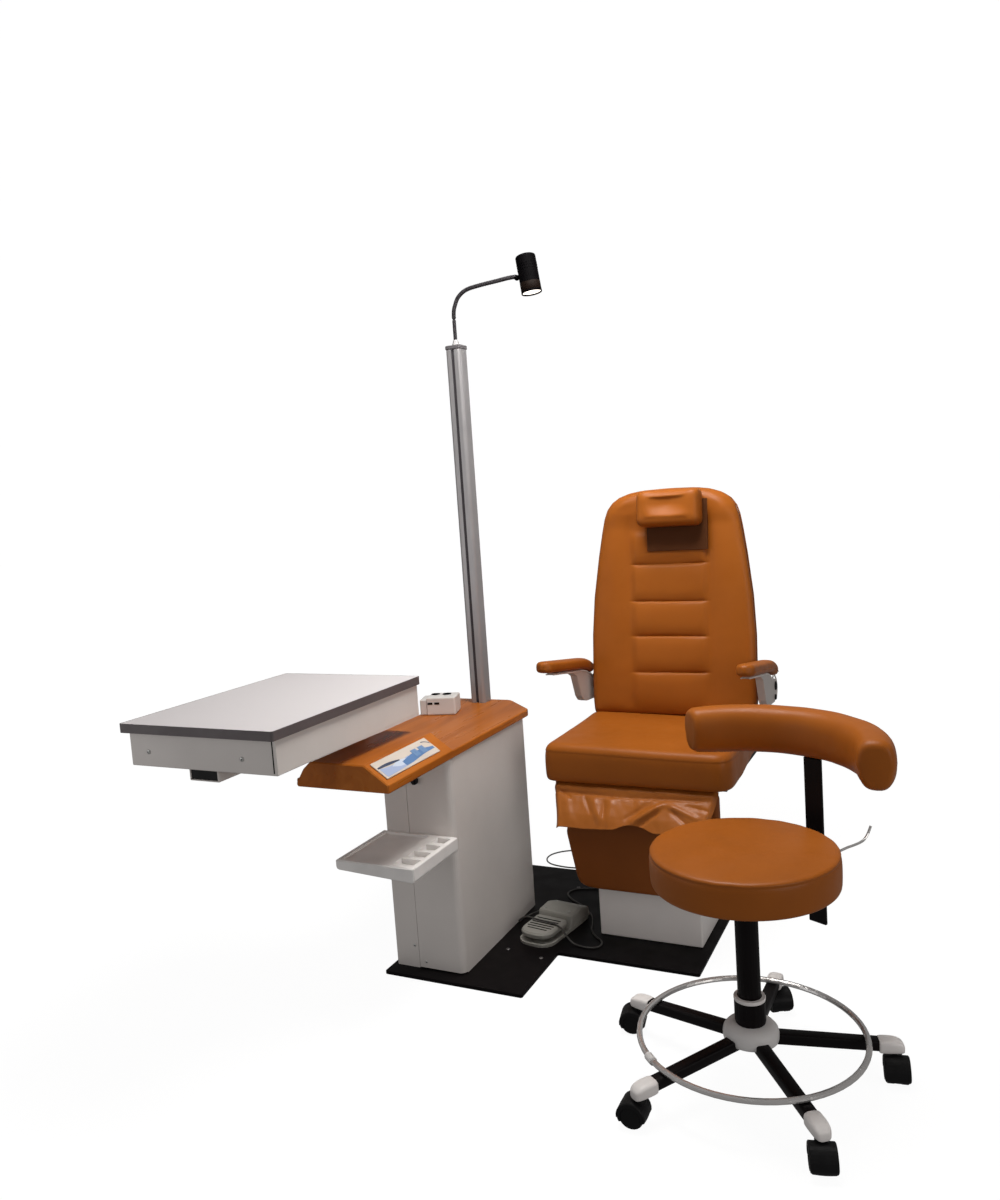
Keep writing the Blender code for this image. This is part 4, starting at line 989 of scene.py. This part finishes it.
# (across, radius) out over the hood and back inside it
HOOD = [(-0.0262, 0.0215), (-0.0262, 0.0262), (-0.0246, 0.0284), (-0.0205, 0.03), (-0.01, 0.0309)]
HOOD += [(0, 0.0312)] + [(-t, r) for t, r in HOOD[::-1]] + [(0.024, 0.028), (0, 0.0283), (-0.024, 0.028)]
DISC = [(0, 0.0252), (0.004, 0.0254), (0.0048, 0.025), (0.015, 0.025), (0.0165, 0.0257), (0.02, 0.0257),
        (0.0215, 0.0246), (0.024, 0.0236), (0.024, 0.0226), (0, 0.0226)]
for k, azimuth in enumerate(LEG_AZ):
    spot = STOOL_PLACE @ about("Z", azimuth) @ Vector((CASTER_OUT, 0, 0))
    place = Matrix.Translation(spot) @ about("Z", CASTER_TURN[k])
    bm = bmesh.new()
    rings = []
    for i in range(25):
        a = radians(-26 + 222 * i / 24)
        pinch = 0.985 if i in (0, 24) else 1.0
        c, s = pinch * cos(a), pinch * sin(a)
        rings.append([place @ Vector((TRAIL + r * c, t * pinch, WHEEL_R + r * s)) for t, r in HOOD])
    skin(bm, rings, caps=True)
    turned(bm, [(0, 0.05), (0.0125, 0.05), (0.013, 0.056), (0.0105, 0.059), (0, 0.0596)], 20, place)
    own(f"caster_cover_{k + 1}", bm, "black_plastic", f"caster_{k + 1}", smooth=50)
    hub = place @ moved(TRAIL, 0, WHEEL_R) @ about("X", 90)
    lathe(f"caster_disc_{k + 1}", DISC, 32, [hub @ about("X", half_turn) for half_turn in (0, 180)], "rubber",
          f"wheel_{k + 1}", 50)

# ---- lamp neck
NECK_LOW, NECK_HIGH, NECK_PIVOT = 1.8, 1.863, 1.87
corrugated = [(0.0062 if k % 2 else 0.0054, NECK_LOW + (NECK_HIGH - NECK_LOW) * k / 30) for k in range(31)]
lower = lathe("neck_hose_lower", [(0, NECK_LOW), (0.0058, NECK_LOW)] + corrugated + [(0, NECK_HIGH)], 16,
              POLE_PLACE, "neck_grey", "neck_lower", 20)
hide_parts("gooseneck_lower")
nipple = [(0, 1.7834), (0.0135, 1.7834), (0.0132, 1.786), (0.0112, 1.7885), (0.0092, 1.795), (0.0078, 1.8),
          (0.0066, 1.8012), (0, 1.8012)]
lathe("neck_nipple", nipple, 24, POLE_PLACE, "ferrule", "neck_lower", 50)

# (x, height) along the upper hose, which stays in the plane of the pole
BEND = [(POLE_X, NECK_PIVOT), (0.0158, 1.886), (0.0205, 1.904), (0.0355, 1.931), (0.065, 1.949),
        (0.112, 1.9555), (0.175, 1.9595), (0.212, 1.962), (0.24, 1.9615)]
bm = bmesh.new()
tube(bm, catmull([(x, POLE_Y, z) for x, z in BEND], 26),
     lambda t: 0.0064 + 0.0005 * sin(t * 2 * pi * 62), 14, Vector((0, 1, 0)))
turned(bm, ball(0.0062, 12, 8 / 12), 20, POLE_PLACE @ moved(0, 0, NECK_PIVOT))
hose = own("neck_hose_upper", bm, "neck_grey", "neck_upper", smooth=70)
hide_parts("gooseneck_upper")
ball_place = moved(0.24154, POLE_Y, 1.95787)
lathe("neck_ball", ball(0.0085, 14), 20, ball_place, "lamp_black", "neck_upper")
LAMP_PLACE = moved(0.2805, POLE_Y, 1.963) @ about("Y", -7.5)
LAMP_R = 0.0309
fin = [(LAMP_R, -0.0014), (0.0316, -0.0009), (0.0316, 0.0009), (LAMP_R, 0.0014)]
lathe("lamp_fins", fin, 40, [LAMP_PLACE @ moved(0, 0, z) for z in (0.03, 0.022, 0.014)], "lamp_black", "lamp")
bezel = [(0.0288, -0.0572), (0.0312, -0.058), (0.0318, -0.056), (0.0318, -0.0525), (LAMP_R, -0.0515)]
lathe("lamp_bezel", bezel, 40, LAMP_PLACE, "lamp_black", "lamp")
# painted glow: a warm brown band round the lower shade, painted in place of the lamp's light showing through
# the shade
band = [(LAMP_R, -0.051), (0.0313, -0.0505), (0.0313, -0.0265), (LAMP_R, -0.026)]
lathe("lamp_warm_band", band, 40, LAMP_PLACE, "lamp_warm", "lamp")

# ---- stand details
pole_low, pole_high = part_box("pole")
for label, y0, y1 in (("front", pole_low.y + 0.0012, pole_low.y + 0.0085),
                      ("rear", pole_high.y - 0.0085, pole_high.y - 0.0012)):
    bm = bmesh.new()
    box(bm, (POLE_X - 0.0049, y0, pole_low.z + 0.002), (POLE_X + 0.0049, y1, pole_high.z - 0.002))
    own(f"pole_groove_{label}", bm, "groove", "stand")
TABLE_FRONT = -0.561
SCREWS = [  # name, places, normal, radius, body
    ("table_screw", ((-0.266, TABLE_FRONT, 0.759), (0.013, TABLE_FRONT, 0.757)), (0, -1, 0), 0.0058, "table"),
    ("cabinet_screw", ((0.063, 0, 0.074), (0.063, 0, 0.3), (0.063, 0, 0.56)), (0, -1, 0), 0.0042, "stand"),
    ("door_screw", ((0.097, 0, 0.03),), (0, -1, 0), 0.0036, "door"),
    ("plate_screw", ((0.263, 0.176, 0.01), (0.375, 0.155, 0.01), (0.3, 0.64, 0.01), (0.79, 0.755, 0.01)),
     (0, 0, 1), 0.0062, "stand"),
    ("base_screw", ((0.5, 0.343, 0.196), (0.77, 0.343, 0.196)), (0, -1, 0), 0.004, "stand"),
]
for name, places, normal, radius, body in SCREWS:
    for k, at in enumerate(places):
        screw(f"{name}_{k + 1}", at, normal, radius, body, "screw" if name == "plate_screw" else "zinc")

bm = bmesh.new()
box(bm, (0.099, TABLE_FRONT - 0.0005, 0.729), (0.102, TABLE_FRONT + 0.0001, 0.8035))
own("table_corner_gap", bm, "black_plastic", "table")

# folded lip along the right lower edge of the table's box, deeper at the rear
lo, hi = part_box("table_box")
inner, outer, top = hi.x - 0.003, hi.x - 0.0002, lo.z + 0.001
lip = []
for y, drop in ((lo.y + 0.12, 0.0003), (lo.y + 0.3, 0.0018), (hi.y - 0.16, 0.0042), (hi.y - 0.001, 0.0046)):
    foot = lo.z - drop
    lip.append([Vector((x, y, z)) for x, z in ((inner, top), (inner, foot), (outer, foot), (outer, top))])
swept("table_box_lip", lip, "white_paint", "table", 30)

HOLDER = moved(0.024, 0.399, 0) @ about("Z", 16)
liner = [(0, 0.6506), (0.0122, 0.6506), (0.0122, 0.6908), (0.0142, 0.6914), (0.0142, 0.6902),
         (0.0124, 0.6898)]
lathe("holder_liners", liner, 28, [HOLDER @ moved(x, 0.052, 0) for x in (-0.072, -0.036)], "black_plastic",
      "stand", smooth=50)
bm = bmesh.new()
for x in (-0.088, -0.066):
    box(bm, (x, -0.0006, 0.668), (x + 0.016, 0.0004, 0.675), HOLDER, bevel=0.0002)
own("holder_slots", bm, "black_plastic", "stand")

bm = bmesh.new()
for z in [0.12 + 0.016 * k for k in range(7)]:
    box(bm, (0.024, 0.5898, z), (0.086, 0.5906, z + 0.007), bevel=0.0002)
own("cabinet_vents", bm, "black_plastic", "stand")
bm = bmesh.new()
box(bm, (0.032, 0.5898, 0.05), (0.08, 0.5935, 0.082), bevel=0.0012)
box(bm, (0.041, 0.5934, 0.056), (0.071, 0.5942, 0.076), index=1)
own("power_inlet", bm, ["grey_plastic", "black_plastic"], "stand")

# keypad label: a pale sheet on the console's slope, with blue bands, a painted highlight and two arrows
SLOPE_TOP, SLOPE_FOOT = Vector((0.152, 0, 0.681)), Vector((0.218, 0, 0.636))
SHEET, LABEL_FOOT = 0.0006, 0.0283  # the sheet's thickness, and how far its bands reach down the slope
fall = SLOPE_FOOT - SLOPE_TOP
slope = atan2(-fall.z, fall.x)
raised = Vector((sin(slope), 0, cos(slope))) * SHEET
KEYPAD = Matrix.Translation((SLOPE_TOP + SLOPE_FOOT) / 2 + raised) @ Matrix.Rotation(slope, 4, "Y")


def label_band(name, mat, y0, y1, upper, lower, height):
    """A band on the label: print, except the glint, which is a painted highlight; upper and lower give its
    edges down the slope at share t of its length.
    """
    strip = []
    for t in [k / 48 for k in range(49)]:
        a, b = min(upper(t), LABEL_FOOT), min(lower(t), LABEL_FOOT)
        strip.append([KEYPAD @ Vector((x, y0 + (y1 - y0) * t, height)) for x in (a, (a + b) / 2, b)])
    bm = bmesh.new()
    skin(bm, strip, closed=False)
    own(name, bm, mat, "stand")


def wave(t, turn=pi):
    return sin(turn * t)


label_band("keypad_field", "label_pale", -0.28, -0.15, lambda t: -0.004 + 0.006 * wave(t, 3.0),
           lambda t: 0.0255 - 0.004 * t, 0.00278)
# painted highlight: a pale band where light glints off the glossy label
label_band("keypad_glint", "label_glint", -0.232, -0.156, lambda t: 0.004 - 0.007 * wave(t),
           lambda t: 0.006 + 0.01 * wave(t), 0.00284)
label_band("keypad_sweep", "key_blue", -0.188, -0.036, lambda t: 0.002 - 0.006 * sin(t * 4.2 - 0.6),
           lambda t: 0.0215 - 0.0095 * t + 0.001 * wave(t, 7), 0.0029)
label_band("keypad_line", "label_ink", -0.283, -0.19, lambda t: -0.0095 + 0.005 * t - 0.004 * wave(t),
           lambda t: -0.005 + 0.004 * t + 0.0005 * wave(t), 0.00296)
label_band("keypad_arc", "label_ink", -0.062, -0.033, lambda t: -0.0215 + 0.012 * t * t,
           lambda t: -0.0185 + 0.013 * t * t, 0.00296)
for label, y, tip in (("down", -0.115, 0.003), ("up", -0.08, -0.003)):
    bm = bmesh.new()
    tail = -tip * 2 / 3
    corners = [Vector((x, y + aside, 0.00355)) for x, aside in ((tip, 0), (tail, -0.003), (tail, 0.003))]
    bm.faces.new([bm.verts.new(KEYPAD @ p) for p in corners])
    own(f"key_arrow_{label}", bm, "key_blue", f"{label}_key")

# ---- foot switch and its cable
PEDAL_PLACE = moved(0.338, 0.335, 0.0103) @ about("Z", -8)
bm = bmesh.new()
for k, half in enumerate((0.04, 0.04, 0.04, 0.04, 0.04, 0.032)):
    y = -0.022 - 0.0135 * k
    box(bm, (-half, y - 0.0018, 0.0374), (half, y + 0.0018, 0.0392), PEDAL_PLACE, bevel=0.0007)
own("pedal_ribs", bm, "rubber", "pedal")
heads = [moved(*(PEDAL_PLACE @ Vector((x, y, z))))
         for y, z in ((0.03, 0.049), (0.095, 0.0405)) for x in (-0.04, 0.04)]
lathe("footswitch_screws", [(0, 0.001), (0.003, 0.001), (0.0036, 0), (0, -0.004)], 12, heads, "zinc", "stand")

PLATE_EDGE, CORD_R = 0.785, 0.0025
ON_PLATE, ON_FLOOR = 0.01 + CORD_R + 0.0004, CORD_R + 0.0004
CORD_ROUTE = [  # (x, y, height); a height left out is the plate's or the floor's
    (0.2719, 0.3999, 0.0263), (0.258, 0.4022, 0.0235), (0.242, 0.399, 0.017), (0.23, 0.387),
    (0.2235, 0.367), (0.224, 0.343, 0.016), (0.232, 0.323, 0.027), (0.248, 0.311, 0.042),
    (0.27, 0.303, 0.0528), (0.3, 0.296, 0.053), (0.335, 0.289, 0.0528), (0.365, 0.281, 0.0526),
    (0.39, 0.272, 0.047), (0.41, 0.264, 0.029), (0.43, 0.257, 0.016), (0.452, 0.251), (0.474, 0.248),
    (0.498, 0.253), (0.51, 0.272), (0.502, 0.298), (0.476, 0.322), (0.451, 0.356), (0.437, 0.4),
    (0.415, 0.45), (0.37, 0.502), (0.318, 0.54), (0.287, 0.58), (0.301, 0.62), (0.345, 0.638),
    (0.395, 0.66), (0.415, 0.71), (0.38, 0.76, 0.015), (0.315, 0.792, 0.014), (0.25, 0.81, 0.004),
    (0.185, 0.808), (0.125, 0.822), (0.093, 0.862), (0.098, 0.915), (0.148, 0.96), (0.235, 0.976),
    (0.34, 0.955), (0.43, 0.9), (0.5, 0.838, 0.005), (0.546, 0.786, 0.017), (0.559, 0.752, 0.0245),
    (0.56, 0.7206, 0.0258),
]


def resting(y):
    """Height of the cable's middle where it lies on the plate or the floor."""
    return ON_PLATE if y < PLATE_EDGE else ON_FLOOR


points = catmull([(x, y, *(height or [resting(y)])) for x, y, *height in CORD_ROUTE], 4)
for point in points:
    point.z = max(point.z, resting(point.y))
curve = bpy.data.curves.new("footswitch_cable", "CURVE")
curve.dimensions, curve.bevel_depth, curve.bevel_resolution, curve.use_fill_caps = "3D", CORD_R, 4, True
run = curve.splines.new("POLY")
run.points.add(len(points) - 1)
for spot, point in zip(run.points, points):
    spot.co = (*point, 1.0)
cable = linked("footswitch_cable", curve)
curve.materials.append(M["cable"])
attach(cable, "stand")
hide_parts("footswitch_cord")


def strain_relief(name, start, end):
    along = [start.lerp(end, k / 12) for k in range(13)]
    bm = bmesh.new()
    tube(bm, along, lambda t: (0.0052 - 0.0018 * t) + (0.0004 if int(t * 11) % 2 else 0.0), 14)
    return own(name, bm, "cable", "stand")


reliefs = [strain_relief("cable_relief_switch", points[0], points[4]),
           strain_relief("cable_relief_chair", points[-1], points[-4])]

# ---- floor and backdrop
floor = Shader("studio_floor", (0.1, 0.1, 0.1), 0.8, spec=0.1)
reach = floor.node("ShaderNodeVectorMath", operation="LENGTH")
floor.link(floor.coords, reach.inputs[0])
far = floor.span(reach.outputs["Value"], 0.95, 1.0, 1.2, 5.0)
floor.put(floor.bsdf, {"Emission Color": (1, 1, 1, 1)})
floor.link(far, floor.bsdf.inputs["Emission Strength"])
floor.bump(floor.noise(40.0), 0.0002, 0.1)
glow = Shader("backdrop", (0, 0, 0), 0.5)
glow.put(glow.bsdf, {"Emission Color": (1, 1, 1, 1), "Emission Strength": 1.0})


def stage_object(name, bm, mat):
    made = linked(name, mesh_of(name, bm))
    made.data.materials.append(mat)
    made.visible_diffuse = made.visible_glossy = False
    return made


bm = bmesh.new()
bmesh.ops.create_circle(bm, cap_ends=True, segments=64, radius=40.0)
ground = stage_object("floor", bm, floor.mat)
ground.location = (0.45, 0.2, -0.0004)
bm = bmesh.new()
bmesh.ops.create_uvsphere(bm, u_segments=48, v_segments=24, radius=39.0)
dome = stage_object("backdrop", bm, glow.mat)
dome.visible_transmission = dome.visible_shadow = False
